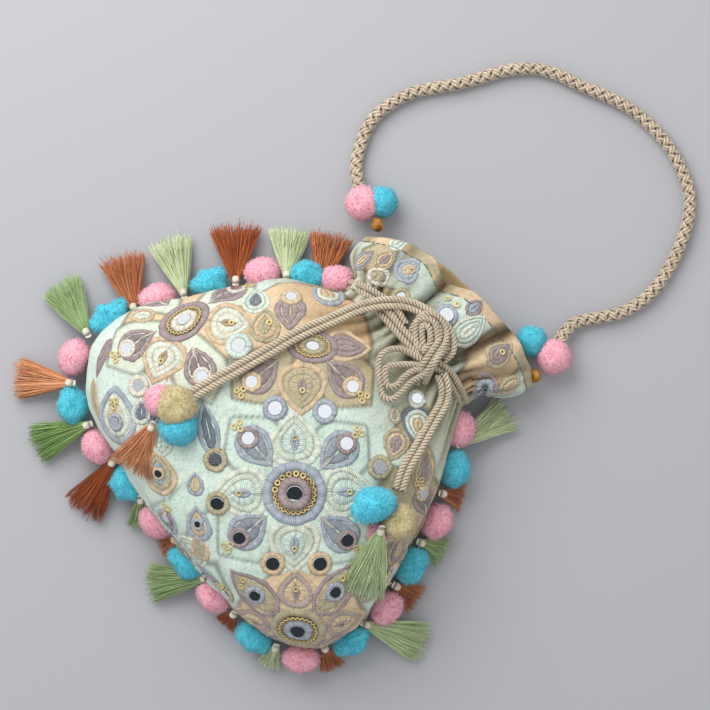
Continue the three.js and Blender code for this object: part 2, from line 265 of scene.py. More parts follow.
def spline(points, step):
    """A smooth line through the points, with a point about every step."""
    p = np.asarray(points, float)
    ends = [2 * p[0] - p[1]], [2 * p[-1] - p[-2]]
    p = np.concatenate([ends[0], p, ends[1]])
    line = []
    for a, b, c, d in zip(p, p[1:], p[2:], p[3:]):
        knots = np.cumsum([0] + [math.sqrt(np.linalg.norm(v)) for v in (b - a, c - b, d - c)])
        t0, t1, t2, t3 = knots
        count = max(2, int(np.linalg.norm(c - b) * 4))
        t = np.linspace(t1, t2, count, endpoint=False)[:, None]
        a1 = (t1 - t) / (t1 - t0) * a + (t - t0) / (t1 - t0) * b
        a2 = (t2 - t) / (t2 - t1) * b + (t - t1) / (t2 - t1) * c
        a3 = (t3 - t) / (t3 - t2) * c + (t - t2) / (t3 - t2) * d
        b1 = (t2 - t) / (t2 - t0) * a1 + (t - t0) / (t2 - t0) * a2
        b2 = (t3 - t) / (t3 - t1) * a2 + (t - t1) / (t3 - t1) * a3
        line.append((t2 - t) / (t2 - t1) * b1 + (t - t1) / (t2 - t1) * b2)
    line = np.concatenate(line + [p[-2:-1]])
    return respace(line, step)


def distances(line):
    """How far along the line each of its points is."""
    return np.concatenate([[0], np.cumsum(np.linalg.norm(np.diff(line, axis=0), axis=1))])


def respace(line, step):
    """The same line with its points evenly about a step apart."""
    lengths = distances(line)
    count = max(2, int(round(lengths[-1] / step)) + 1)
    at = np.linspace(0, lengths[-1], count)
    return np.stack([np.interp(at, lengths, line[:, k]) for k in range(3)], axis=1)


def unit(vectors):
    return vectors / np.maximum(np.linalg.norm(vectors, axis=-1, keepdims=True), 1e-12)


def frames(line):
    """Two directions across the line at each point, carried along it without twist."""
    along = unit(np.gradient(line, axis=0))
    across = np.empty_like(along)
    normal = np.array([0.0, 0.0, 1.0])
    for i, tangent in enumerate(along):
        normal = normal - tangent * (normal @ tangent)
        if np.linalg.norm(normal) < 1e-6:
            normal = np.cross(tangent, (1, 0, 0))
        normal = normal / np.linalg.norm(normal)
        across[i] = normal
    return across, np.cross(along, across)


def tube(line, radius, sides):
    """A closed tube round the line, with how far along and round it each point is."""
    n, m = frames(line)
    angle = np.arange(sides) * 2 * math.pi / sides
    ring = n[:, None] * (np.cos(angle) * radius)[None, :, None]
    ring = ring + m[:, None] * (np.sin(angle) * radius)[None, :, None]
    verts = (line[:, None] + ring).reshape(-1, 3)
    rows = len(line)
    i = np.arange(rows - 1)[:, None] * sides
    k, k2 = np.arange(sides)[None], (np.arange(sides)[None] + 1) % sides
    quads = np.stack([i + k, i + k2, i + sides + k2, i + sides + k], axis=-1).reshape(-1, 4)
    hubs = len(verts)
    verts = np.concatenate([verts, line[:1], line[-1:]])
    k, k2 = k[0], k2[0]
    last = (rows - 1) * sides
    tris = np.concatenate([
        np.stack([k2, k, np.full(sides, hubs)], axis=1),
        np.stack([last + k, last + k2, np.full(sides, hubs + 1)], axis=1),
    ])
    s = distances(line)
    thread = np.zeros((len(verts), 3))
    thread[:hubs, 0] = np.repeat(s, sides)
    thread[:hubs, 1] = np.tile(angle, rows)
    thread[hubs + 1, 0] = s[-1]
    return verts, quads, tris, thread


# The bag's own shape, as its CAD solid has it, in millimetres

CLOTH = 3.5
NECK_Y = 117.5
NECK_TILT = 0.15
TILT_START = 75
MOUTH_FLOOR = 0.25
# How square the bag's sections are, over the side seam and under it
SQUARE_TOP = 2.2
SQUARE_UNDER = 2.8
# The rim in plan: where its ends are, its slant, how far its middle stands out, the middle
# itself, and its half width
RIM_ENDS, RIM_SLANT, RIM_BULGE = 148.5, 0.13, 18.5
RIM_MIDDLE, RIM_HALF = 4, 69

# Along the bag, half width, top, side seam, underside
POUCH = [
    (-73, 40, 25.5, 24, 22.5),
    (-72, 46, 29, 24, 19),
    (-70, 54, 35, 24, 14),
    (-68, 70, 44, 24, 9),
    (-62, 92, 54, 24, 2),
    (-52, 107, 62, 25, -2),
    (-38, 116, 68, 26, -3),
    (-20, 119, 72, 27, -3),
    (0, 115, 73.5, 27, -3),
    (25, 106, 73, 27, -3),
    (50, 95, 70, 27, -3),
    (75, 82, 65, 26, -2),
    (95, 66, 57, 25, 0),
    (107, 54, 50, 24, 3),
    (NECK_Y, 47.5, 44, 23, 6),
]
# Share of the way from the neck to the rim, then as for the pouch
FRILL = [
    (0, 47.5, 44, 23, 6),
    (0.2, 55, 45, 22, 3),
    (0.45, 64, 45, 21, 1),
    (0.75, 68, 43, 20, 0.5),
    (1, 69, 39, 19, 0.5),
]
# Folds of the frill: across at the neck and at the rim, width, depth, and whether in front
FOLDS = [
    (-11, -14, 3.4, 16, True),
    (22, 33, 3.8, 10, True),
    (-34, -44, 6, 4, True),
    (44, 60, 5, 4, True),
    (-10, -24, 8, 7, False),
    (12, 26, 8, 7, False),
]
# How a fold deepens on its way to the rim, and how sharp it is across
FOLD_START = 0.6
FOLD_SHARP = 1.35
FOLD_EDGE = 12
# Painted shade in the folds: how much a fold darkens the cloth for each millimetre of its depth,
# and at most
FOLD_DARK, FOLD_DARKEST = 0.05, 0.48
FRONT_HEIGHT = 20
# Where the front of the rim is drawn back so that the lining of the back shows
RIM_NOTCH = (-15, 10, 8)
# Where one side seam bulges out a little more: along, spread, and how far, and between
# which distances from the middle the bulge comes up
SIDE_SWELL = (-14, 40, 4.5)
SWELL_ACROSS = (50, 115)
# Pleats round the neck: how many, how sharp, how deep, how far they are raised, how far they
# reach down the pouch and up the frill, how dark their bottoms are painted as shade, and how far
# on they start
PLEATS = [
    (36, 0.8, 3.2, 0.35, 17, 0.42, 0.42, 0.0),
    (15, 1.0, 3.1, 0.45, 34, 0.8, 0.3, 0.1),
]
# How much of the stuffing's lumps the fine pleats take away
PLEAT_CALM = 0.55
# The tunnel of the drawstring and the ridge at each side of it: height and half width, and
# how far from the neck the ridges are
CASING, CASING_HALF = 3.2, 3.4
RIDGE, RIDGE_HALF, RIDGE_AWAY = 1.2, 1.8, 6.5
# Lumps of the stuffing and small lumps of the cloth: height and size
STUFFING, STUFFING_SIZE = 0.75, 38
RUMPLES, RUMPLES_SIZE = 0.3, 13
# How deep the side seams are drawn in, and their half width as a turn round the bag
SEAM_DEPTH, SEAM_HALF = 1.3, 0.035
# How much of all this is felt where the cloth lies on the table
LYING = 0.25
# The darkest that the painted shade of the pleats and folds makes the cloth
DARKEST_FOLD = 0.4
# About how long the frill is from the neck to the rim
FRILL_LENGTH = 35
# Points round the bag, and rings along the pouch, the frill and the frill's lining
SIDES = 352
POUCH_ROWS = 172
FRILL_ROWS = 46
LINING_ROWS = 22
# The close rings round the bottom's edge, and where the even ones begin
BOTTOM_RINGS, BOTTOM_END = [-73, -72.3, -71.5, -70.7], -70
# Rings over the rim's edge: share of the way out, and how far in from the outer skin
RIM_EDGE = [(1.02, 0.6), (1.03, CLOTH / 2), (1.02, CLOTH - 0.6)]
# How far in from the lining the last rings are, where the mouth is gathered shut
GATHERED = [4, 9, 14]


def through(rows, at):
    """Smooth curves through the rows that never overshoot them, read off at each place."""
    rows = np.asarray(rows, float)
    x, value = rows[:, 0], rows[:, 1:]
    span = np.diff(x)[:, None]
    rise = np.diff(value, axis=0) / span
    before, after = rise[:-1], rise[1:]
    a = 2 * span[1:] + span[:-1]
    b = span[1:] + 2 * span[:-1]
    level = before * after <= 0
    slope = np.empty_like(value)
    slope[0], slope[-1] = rise[0], rise[-1]
    safe_before, safe_after = np.where(level, 1, before), np.where(level, 1, after)
    slope[1:-1] = np.where(level, 0, (a + b) / (a / safe_before + b / safe_after))
    i = np.clip(np.searchsorted(x, at) - 1, 0, len(x) - 2)
    step = span[i]
    t = np.clip((np.asarray(at)[:, None] - x[i][:, None]) / step, 0, 1)
    s = 1 - t
    line = (1 + 2 * t) * s * s * value[i] + t * t * (3 - 2 * t) * value[i + 1]
    return line + t * s * (s * slope[i] - t * slope[i + 1]) * step


def smoothstep(value, start, end):
    t = np.clip((value - start) / (end - start), 0, 1)
    return t * t * (3 - 2 * t)


def section(shape, grow):
    """Across and height of each point of each ring, flat where the ring meets the table."""
    angle = np.arange(SIDES) * 2 * math.pi / SIDES
    c, s = np.cos(angle)[None], np.sin(angle)[None]
    up = s >= 0
    roundness = np.where(up, 2 / SQUARE_TOP, 2 / SQUARE_UNDER)
    half, top, seam, under = (shape[:, k:k + 1] for k in range(4))
    height = np.where(up, top - seam, seam - under)
    x = (half + grow) * np.sign(c) * np.abs(c) ** roundness
    z = seam + (height + grow) * np.sign(s) * np.abs(s) ** roundness
    return x, np.maximum(z, 0), np.broadcast_to(up, x.shape)


def pouch_rings(at):
    x, z, _ = section(through(POUCH, at), np.zeros((len(at), 1)))
    y = np.asarray(at)[:, None]
    lean = NECK_TILT * smoothstep(y, TILT_START, NECK_Y)
    return np.stack([x, y + lean * x, z], axis=-1)


def neck_line(x):
    return NECK_Y + NECK_TILT * x


def rim_line(x):
    bulge = RIM_BULGE * (1 - np.abs((x - RIM_MIDDLE) / RIM_HALF) ** 3)
    return RIM_ENDS + RIM_SLANT * x + bulge


def in_fold(x, share, fold):
    """How much a fold of the frill is felt at each place, from 0 to 1 in its bottom."""
    root, across, width = fold[:3]
    middle = root + (across - root) * share
    return share ** FOLD_START * np.exp(-(np.abs((x - middle) / width) ** FOLD_SHARP))


def frill_rings(share, grow):
    share, grow = np.asarray(share, float), np.asarray(grow, float)[:, None]
    shape = through(FRILL, np.clip(share, 0, 1))
    x, z, up = section(shape, grow)
    share = share[:, None]
    lift = np.zeros_like(x)
    for fold in FOLDS:
        depth, front = fold[3:]
        crease = depth * in_fold(x, share, fold)
        lift = lift + np.where(up == front, np.where(up, -crease, crease), 0)
    inward = np.minimum(1, np.abs(z - shape[:, 2:3]) / FOLD_EDGE)
    middle, width, depth = RIM_NOTCH
    notch = np.where(up, depth * np.exp(-(((x - middle) / width) ** 2)), 0)
    y = neck_line(x) + (rim_line(x) - notch - neck_line(x)) * share
    return np.stack([x, y, z + lift * inward], axis=-1)


def fold_shade(rings, share):
    """Painted shade: how much darker the cloth is in the bottoms of the folds in the frill's
    front.
    """
    dark = np.zeros(rings.shape[:2])
    for fold in FOLDS:
        depth, front = fold[3:]
        strength = min(FOLD_DARKEST, depth * FOLD_DARK) * front
        dark += in_fold(rings[..., 0], share[:, None], fold) * strength
    return dark * (rings[..., 2] > FRONT_HEIGHT)


def pleats(turn, folds, sharp):
    """Creases round the neck, from 0 on their crests down to -1 in their bottoms."""
    wander = 0.9 * np.sin(3 * turn + 1) + 0.7 * np.sin(5 * turn + 2.3) + 0.4 * np.sin(11 * turn)
    return -(1 - np.abs(np.sin(folds * turn / 2 + wander)) ** sharp)


def soft_noise(points, size, seed):
    """Gentle lumps of the given size, as a sum of a few waves in fixed directions."""
    waves = np.random.default_rng(seed)
    total = np.zeros(points.shape[:-1])
    for _ in range(9):
        way = waves.normal(size=3)
        way = way / np.linalg.norm(way) * 2 * math.pi / (size * waves.uniform(0.7, 1.5))
        total += np.sin(points @ way + waves.uniform(0, 6.3))
    return total / 3


def ring_normals(grid):
    round_way = np.roll(grid, -1, axis=1) - np.roll(grid, 1, axis=1)
    long_way = np.gradient(grid, axis=0)
    return unit(np.cross(long_way, round_way))


def bag_rings():
    """Rings of the whole bag from its bottom to its rim, and down inside to the gathers."""
    along = np.concatenate([BOTTOM_RINGS, np.linspace(BOTTOM_END, NECK_Y, POUCH_ROWS)])
    out = np.linspace(0.02, 1, FRILL_ROWS)
    back = np.linspace(1, MOUTH_FLOOR, LINING_ROWS)
    edge, edge_in = np.array(RIM_EDGE).T
    share = np.concatenate([out, edge, back, [MOUTH_FLOOR] * len(GATHERED)])
    grow = -np.concatenate([
        np.zeros(len(out)), edge_in, np.full(len(back), CLOTH), CLOTH + np.array(GATHERED),
    ])
    grid = np.concatenate([pouch_rings(along), frill_rings(share, grow)])
    middle, width, swell = SIDE_SWELL
    at_side = smoothstep(-grid[..., 0], *SWELL_ACROSS)
    grid[..., 0] -= swell * np.exp(-(((grid[..., 1] - middle) / width) ** 2)) * at_side
    turn = np.arange(SIDES) * 2 * math.pi / SIDES
    row = np.arange(len(grid))[:, None]
    drift = turn[None] + 0.02 * np.sin(row / 11)
    depth, shade, felt = np.zeros(grid.shape[:2]), np.ones(grid.shape[:2]), []
    for count, sharp, deep, raised, reach, frill_reach, dark, ahead in PLEATS:
        near = np.concatenate([
            np.exp(-(((along - NECK_Y) / reach) ** 2)), np.exp(-((share / frill_reach) ** 2)),
        ])[:, None]
        creases = pleats(drift + ahead, count, sharp)
        depth += deep * near * (creases + raised)
        # Painted shade: the bottoms of the pleats are drawn darker
        shade += dark * near * creases
        felt.append(near)
    calm = 1 - PLEAT_CALM * felt[0]
    # Painted shade in the bottoms of the frill's folds
    shade[len(along):] -= fold_shade(grid[len(along):], share)
    from_neck = np.concatenate([along - NECK_Y, share * FRILL_LENGTH])[:, None]
    depth += CASING * np.exp(-((from_neck / CASING_HALF) ** 2))
    depth -= RIDGE * np.exp(-(((np.abs(from_neck) - RIDGE_AWAY) / RIDGE_HALF) ** 2))
    depth += STUFFING * calm * soft_noise(grid, STUFFING_SIZE, 3)
    depth += RUMPLES * soft_noise(grid, RUMPLES_SIZE, 4)
    seam = np.minimum(turn, np.abs(turn - math.pi))
    seam = np.minimum(seam, 2 * math.pi - turn)
    outside = (row < len(along) + len(out)) * 1.0
    depth -= SEAM_DEPTH * np.exp(-((seam / SEAM_HALF) ** 2))[None] * outside
    lifted = np.where(grid[:, :, 2:3] > 2, 1, LYING)
    grid = grid + ring_normals(grid) * depth[..., None] * lifted
    grid[..., 2] = np.maximum(grid[..., 2], 0.05)
    outside_rows = len(along) + len(out) + 1
    return grid, outside_rows, np.clip(shade, DARKEST_FOLD, 1)[..., None]


def skin(grid):
    """One closed mesh over a run of rings, with a hub at both ends."""
    rows, sides = grid.shape[:2]
    verts = np.concatenate([grid.reshape(-1, 3), grid[:1].mean(1), grid[-1:].mean(1)])
    i = np.arange(rows - 1)[:, None] * sides
    k = np.arange(sides)[None]
    k2 = (k + 1) % sides
    quads = np.stack([i + k, i + sides + k, i + sides + k2, i + k2], axis=-1).reshape(-1, 4)
    k, k2 = k[0], k2[0]
    hub, last = rows * sides, (rows - 1) * sides
    tris = np.concatenate([
        np.stack([k, k2, np.full(sides, hub)], axis=1),
        np.stack([last + k2, last + k, np.full(sides, hub + 1)], axis=1),
    ])
    return verts, quads, tris


# Finishes

# A wave texture repeats this often in each unit at a scale of one
WAVE_MM = 0.314
STITCH_PITCH = 1.15
STROKE_TURN = 0.9


def attribute(nodes, name):
    node = nodes.new("ShaderNodeAttribute")
    node.attribute_name = name
    return node


def scaled(tree, vector, factors):
    """The vector with each of its parts multiplied."""
    node = tree.nodes.new("ShaderNodeVectorMath")
    node.operation = "MULTIPLY"
    node.inputs[1].default_value = factors
    tree.links.new(vector, node.inputs[0])
    return node.outputs["Vector"]


def noise(tree, vector, scale, detail=3.0):
    node = tree.nodes.new("ShaderNodeTexNoise")
    node.inputs["Scale"].default_value = scale
    node.inputs["Detail"].default_value = detail
    tree.links.new(vector, node.inputs["Vector"])
    return node.outputs["Fac"]


def ramp(tree, value, stops):
    """A grey level for each place in the value."""
    node = tree.nodes.new("ShaderNodeValToRGB")
    elements = node.color_ramp.elements
    elements[0].position, elements[1].position = stops[0][0], stops[-1][0]
    elements[0].color = (*[stops[0][1]] * 3, 1)
    elements[1].color = (*[stops[-1][1]] * 3, 1)
    for place, level in stops[1:-1]:
        elements.new(place).color = (level, level, level, 1)
    tree.links.new(value, node.inputs["Fac"])
    return node.outputs["Color"]


def times(tree, first, second):
    node = tree.nodes.new("ShaderNodeMix")
    node.data_type = "RGBA"
    node.blend_type = "MULTIPLY"
    node.inputs["Factor"].default_value = 1
    tree.links.new(first, node.inputs["A"])
    tree.links.new(second, node.inputs["B"])
    return node.outputs["Result"]


def tinted(tree, first, colour, amount):
    """The colour mixed into the first one, by the amount, which is a socket."""
    node = tree.nodes.new("ShaderNodeMix")
    node.data_type = "RGBA"
    node.inputs["B"].default_value = (*linear(colour), 1)
    tree.links.new(amount, node.inputs["Factor"])
    tree.links.new(first, node.inputs["A"])
    return node.outputs["Result"]


def bump(tree, height, strength, distance, before=None):
    node = tree.nodes.new("ShaderNodeBump")
    node.inputs["Strength"].default_value = strength
    node.inputs["Distance"].default_value = distance
    tree.links.new(height, node.inputs["Height"])
    if before is not None:
        tree.links.new(before, node.inputs["Normal"])
    return node.outputs["Normal"]


def finish_shader(material, colour, normal, roughness, sheen=0.0):
    shader = material.node_tree.nodes["Principled BSDF"]
    links = material.node_tree.links
    shader.inputs["Roughness"].default_value = roughness
    shader.inputs["Sheen Weight"].default_value = sheen
    shader.inputs["Sheen Roughness"].default_value = 0.5
    links.new(colour, shader.inputs["Base Color"])
    if normal is not None:
        links.new(normal, shader.inputs["Normal"])
    return shader


def cloth_finish():
    """Close needlework in the ground colour, over a fine weave."""
    material = new_material("stitched_ground")
    tree = material.node_tree
    place = tree.nodes.new("ShaderNodeTexCoord").outputs["Object"]
    tint = attribute(tree.nodes, "tint").outputs["Color"]
    turned = tree.nodes.new("ShaderNodeMapping")
    turned.inputs["Rotation"].default_value = (0, 0, STROKE_TURN)
    turned.inputs["Scale"].default_value = (1.0, 0.22, 0.6)
    tree.links.new(place, turned.inputs["Vector"])
    strokes = noise(tree, turned.outputs["Vector"], 1500, 2)
    edges = noise(tree, place, 95, 5)
    patch = noise(tree, place, 60, 2)
    colour = times(tree, tint, ramp(tree, strokes, [(0.3, 0.74), (0.46, 0.98), (0.7, 1.08)]))
    # Painted shade: the cloth is darker along the fine grooves that the bump draws
    creases = ramp(tree, edges, [(0.46, 1.0), (0.497, 0.9), (0.503, 0.9), (0.54, 1.0)])
    colour = times(tree, colour, creases)
    colour = times(tree, colour, ramp(tree, patch, [(0.3, 0.93), (0.7, 1.05)]))
    normal = bump(tree, creases, 0.5, 0.0008)
    normal = bump(tree, strokes, 0.5, 0.0005, normal)
    finish_shader(material, colour, normal, 0.8, 0.15)
    return material


def satin_finish():
    """Satin stitch: threads lying side by side across each band."""
    material = new_material("satin_stitch")
    tree = material.node_tree
    thread = attribute(tree.nodes, "thread").outputs["Vector"]
    tint = attribute(tree.nodes, "tint").outputs["Color"]
    stitch = tree.nodes.new("ShaderNodeTexWave")
    stitch.inputs["Scale"].default_value = WAVE_MM / STITCH_PITCH
    stitch.inputs["Distortion"].default_value = 2.6
    stitch.inputs["Detail"].default_value = 2
    stitch.inputs["Detail Scale"].default_value = 2.5
    tree.links.new(thread, stitch.inputs["Vector"])
    lines = stitch.outputs["Fac"]
    strands = noise(tree, scaled(tree, thread, (1.5, 0.12, 7.0)), 1.0, 2)
    # Painted shade: darker in the gaps between the stitches, where the bump sinks
    colour = times(tree, tint, ramp(tree, lines, [(0.0, 0.66), (0.3, 0.97), (1.0, 1.06)]))
    colour = times(tree, colour, ramp(tree, strands, [(0.3, 0.86), (0.48, 1.0), (0.75, 1.06)]))
    normal = bump(tree, lines, 0.55, 0.0006)
    normal = bump(tree, strands, 0.4, 0.0005, normal)
    finish_shader(material, colour, normal, 0.6, 0.15)
    return material


def cord_finish(name, shine):
    """Twisted yarn: fine threads that run slantwise round each ply."""
    material = new_material(name)
    tree = material.node_tree
    thread = attribute(tree.nodes, "thread").outputs["Vector"]
    tint = attribute(tree.nodes, "tint").outputs["Color"]
    place = tree.nodes.new("ShaderNodeTexCoord").outputs["Object"]
    slant = tree.nodes.new("ShaderNodeMapping")
    slant.inputs["Rotation"].default_value = (0, 0, 0.6)
    slant.inputs["Scale"].default_value = (0.6, 3.0, 1.0)
    tree.links.new(thread, slant.inputs["Vector"])
    yarn = noise(tree, slant.outputs["Vector"], 1.6, 2)
    patch = noise(tree, place, 90, 3)
    # Painted shade and light: darker between the fine threads and lighter on them, along with the
    # bump
    colour = times(tree, tint, ramp(tree, yarn, [(0.3, 0.62), (0.5, 1.0), (0.7, 1.22)]))
    colour = times(tree, colour, ramp(tree, patch, [(0.3, 0.9), (0.7, 1.07)]))
    finish_shader(material, colour, bump(tree, yarn, 0.7, 0.0006), shine, 0.15)
    return material


def fluff_finish(name, deep):
    """Cut pile, with painted shade: deeper colour between the tufts than on them."""
    material = new_material(name)
    tree = material.node_tree
    place = tree.nodes.new("ShaderNodeTexCoord").outputs["Object"]
    tint = attribute(tree.nodes, "tint").outputs["Color"]
    tufts = noise(tree, place, 420, 3)
    fine = noise(tree, place, 1500, 1)
    shade = ramp(tree, tufts, [(0.34, 0.3), (0.5, 0.0)])
    # Painted shade between the tufts
    mixed = tinted(tree, tint, deep, shade)
    normal = bump(tree, fine, 0.3, 0.0005)
    finish_shader(material, mixed, normal, 0.95, 0.3)
    return material


def silk_finish(name):
    """Loose silky threads, some light and some dark along their length."""
    material = new_material(name)
    tree = material.node_tree
    thread = attribute(tree.nodes, "thread").outputs["Vector"]
    tint = attribute(tree.nodes, "tint").outputs["Color"]
    streak = noise(tree, scaled(tree, thread, (0.12, 0.0, 13.0)), 1.0, 2)
    colour = times(tree, tint, ramp(tree, streak, [(0.3, 0.72), (0.5, 1.0), (0.7, 1.15)]))
    finish_shader(material, colour, None, 0.45, 0.1)
    return material


def metal_finish(name, colour, roughness, wear, metallic=1.0):
    material = new_material(name)
    tree = material.node_tree
    place = tree.nodes.new("ShaderNodeTexCoord").outputs["Object"]
    flat = tree.nodes.new("ShaderNodeRGB")
    flat.outputs[0].default_value = (*linear(colour), 1)
    marks = noise(tree, place, 700, 2)
    shaded = times(tree, flat.outputs[0], ramp(tree, marks, [(0.3, 1 - wear), (0.6, 1.0)]))
    shader = finish_shader(material, shaded, bump(tree, marks, 0.1, 0.0002), roughness)
    shader.inputs["Metallic"].default_value = metallic
    return material


def bead_finish():
    material = new_material("amber_glass")
    tree = material.node_tree
    place = tree.nodes.new("ShaderNodeTexCoord").outputs["Object"]
    flat = tree.nodes.new("ShaderNodeRGB")
    flat.outputs[0].default_value = (*linear((0.72, 0.48, 0.15)), 1)
    clouds = noise(tree, place, 260, 3)
    shaded = times(tree, flat.outputs[0], ramp(tree, clouds, [(0.35, 0.45), (0.65, 1.15)]))
    shader = finish_shader(material, shaded, None, 0.12)
    shader.inputs["Coat Weight"].default_value = 0.6
    return material


# Cords

TAIL_LEFT = [
    (20, 126, 51), (19.5, 133, 49.5), (9, 139, 49.5), (-5, 137, 49.5), (-18, 131, 50),
    (-28, 120, 52.5), (-35, 106, 54.5), (-40, 87, 61.5), (-45, 68, 67), (-48, 47, 71),
    (-52, 20, 74), (-55, 0, 75.5), (-55.5, -8, 77),
]
TAIL_RIGHT = [
    (27, 120, 53), (35, 117, 52.5), (41.5, 111, 49.5), (47, 98, 53), (53.5, 82, 59),
    (59, 68, 62), (66.5, 56.5, 62.5),
]
BOW_OUTER = [
    (17, 119, 53), (14.9, 116.6, 55), (7.3, 113.8, 56), (-0.1, 109.8, 58), (-4.2, 103.2, 60),
    (-3.7, 96.9, 62), (1.1, 92.1, 63), (9.2, 87.3, 64.5), (16.3, 84, 65), (20.7, 86.9, 65),
    (20.6, 93.6, 64), (19.6, 101.9, 62), (20.4, 111.1, 58), (19, 118, 54),
]
BOW_INNER = [
    (18, 119, 52), (16.9, 115, 56), (10.9, 108.7, 59), (5.6, 101, 62), (3.6, 95.5, 64),
    (8, 92, 65.5), (13, 90, 66), (15.6, 94, 65), (14.6, 101.5, 62.5), (15.5, 109, 59.5),
    (18.9, 113.4, 57), (20, 119, 53),
]
NECK_LEFT = [
    (-36, 112, 37), (-30.5, 113.5, 42.5), (-23.6, 115.5, 47.5), (-15, 116.3, 50.5),
    (-6.4, 116.7, 52.5), (2.6, 117.5, 54), (12.2, 118.7, 54.5), (20, 121, 52.5),
    (27, 123, 50), (33, 123.5, 46), (40, 122.5, 41.5), (46, 121.5, 34.5), (50.5, 120.5, 27),
]
NECK_SIDE = [
    (-50, 110, 27), (-45, 113.5, 36.5), (-37, 117, 43), (-29.6, 119.5, 46.5), (-20, 121, 49),
    (-10, 120, 50),
]
KNOT_FILL = [
    (-2, 121, 50), (-5, 129, 50.5), (-1, 134, 52), (5.5, 131.5, 54), (11, 126, 56), (12, 119, 56),
]
KNOT_WRAP = [
    (24, 107, 50), (21.5, 108.5, 54), (18.6, 113, 58), (16.4, 119.5, 60), (14.3, 126, 58.5),
    (11.8, 133, 54.5), (7.1, 137.5, 51.5), (0.7, 138.7, 50.5), (-4.5, 136.2, 50), (-6, 131, 50),
    (-2, 125.5, 52), (5, 121, 54), (13, 117, 54),
]
KNOT_BAND = [
    (25, 110, 49), (23.5, 112.5, 54), (21, 117, 58.5), (18.8, 122.5, 60), (17, 128.5, 57.5),
    (15.5, 133, 52.5), (14.5, 134, 48),
]
HANDLE = [
    (-88, 148, 13), (-98, 153.5, 8), (-108, 160, 5), (-116, 170, 4.7), (-122, 180, 4.7),
    (-125, 192, 4.7), (-124, 206, 4.7), (-121, 218, 4.7), (-115, 230, 4.7), (-108, 243, 4.7),
    (-103, 255, 4.7), (-97, 270, 4.7), (-87, 285, 4.7), (-76, 294, 4.7), (-60, 302, 4.7),
    (-46, 310, 4.7), (-31, 317, 4.7), (-14, 321, 4.7), (3, 322, 4.7), (17, 320, 4.7),
    (33, 315, 4.7), (46, 305, 4.7), (57, 290, 4.7), (66, 270, 4.7), (70, 253, 4.7),
    (68, 235, 4.7), (61, 220, 4.8), (55, 207, 5.5), (56, 196, 9), (61, 187, 13),
]
STRAND = 2.15
STRAND_OFFSET = 2.1
PLIES = 3
PLY_SIDES = 8
PLY_PITCH = 6.9
# Three round plies that touch: the cord's radius and how far out a ply lies, in ply radii
CORD_IN_PLIES = 2.155
PLY_OUT = 1.155
ROPE_STEP = 0.72
# The knot's cord is drawn darker than the tails' cord, as painted shade among its loops
TIE_SHADE = 0.94
# The braid: how far out its strands lie, how far they weave in and out, and their radius
BRAID_MIDDLE, BRAID_SWING, BRAID_YARN = 2.55, 0.62, 1.1
BRAID_PITCH = 20
BRAID_STRANDS = 3
BRAID_SIDES = 6
# How far round the braid each half of a doubled strand is from its middle
BRAID_PAIR = 0.37
BRAID_CORE = 2.1
BRAID_STEP = 1.15
# Painted shade on a ply: its shade where it faces its neighbours, and how much lighter it is on
# the outside
GROOVE, GROOVE_LIGHT = 0.3, 0.82


def beside(line, offset):
    """The line moved sideways in plan, for one strand of a doubled cord."""
    run = np.gradient(line, axis=0)
    run[:, 2] = 0
    run = unit(run)
    return line + np.stack([-run[:, 1], run[:, 0], np.zeros(len(run))], axis=1) * offset


def groove_shade(verts, route, outward, sides):
    """Painted shade and light: darker where a ply faces its neighbours, and lightest on the
    outside of the cord.
    """
    around = verts[:-2].reshape(len(route), sides, 3) - route[:, None]
    facing = (unit(around) * outward[:, None]).sum(-1).ravel()
    shade = GROOVE + GROOVE_LIGHT * smoothstep(facing, -0.2, 0.98)
    return np.concatenate([shade, [0.8, 0.8]])[:, None]


def add_rope(heap, line, tint, start=0.0):
    """A twisted cord round the line, ply by ply."""
    ply = STRAND / CORD_IN_PLIES
    n, m = frames(line)
    s = distances(line)
    for k in range(PLIES):
        angle = start + 2 * math.pi * (k / PLIES + s / PLY_PITCH)
        offset = n * np.cos(angle)[:, None] + m * np.sin(angle)[:, None]
        route = line + offset * PLY_OUT * ply
        verts, quads, tris, thread = tube(route, ply, PLY_SIDES)
        shade = groove_shade(verts, route, offset, PLY_SIDES)
        heap.add(verts, quads, tris, np.asarray(tint) * shade, thread + (0, 0, 3.1 * k))


def add_braid(heap, line):
    """Six doubled strands plaited round each other over a core painted dark, as the shade between
    them.
    """
    n, m = frames(line)
    turn = 2 * math.pi * distances(line) / BRAID_PITCH
    # The core is painted at half the gold cord's colour, as the shade seen between the strands
    core = tube(respace(line, 5), BRAID_CORE, 8)
    heap.add(*core[:3], tint=np.asarray(CORD_GOLD) * 0.5)
    for way in (1, -1):
        lift = way * np.cos(BRAID_STRANDS * turn)
        reach = (BRAID_MIDDLE + BRAID_SWING * lift)[:, None]
        for strand in range(BRAID_STRANDS):
            for pair in (-BRAID_PAIR, BRAID_PAIR):
                angle = way * turn + 2 * math.pi * strand / BRAID_STRANDS + pair
                offset = n * np.cos(angle)[:, None] + m * np.sin(angle)[:, None]
                route = line + offset * reach
                verts, quads, tris, thread = tube(route, BRAID_YARN, BRAID_SIDES)
                shade = groove_shade(verts, route, offset, BRAID_SIDES)
                # Painted light and shade: a strand is lighter where it rides out over the others
                # and darker where it dips under them
                shade[:-2] *= np.repeat(0.95 + 0.17 * lift, BRAID_SIDES)[:, None]
                heap.add(verts, quads, tris, np.asarray(BRAID_BEIGE) * shade, thread)


# Needlework

NEEDLE_REACH = 26.0
BAND_HEIGHT = 0.45
MIRROR_HEIGHT = 0.8
# The middle of a gold thread that the bag lies on is this far over the table
LOWEST_THREAD = 0.45
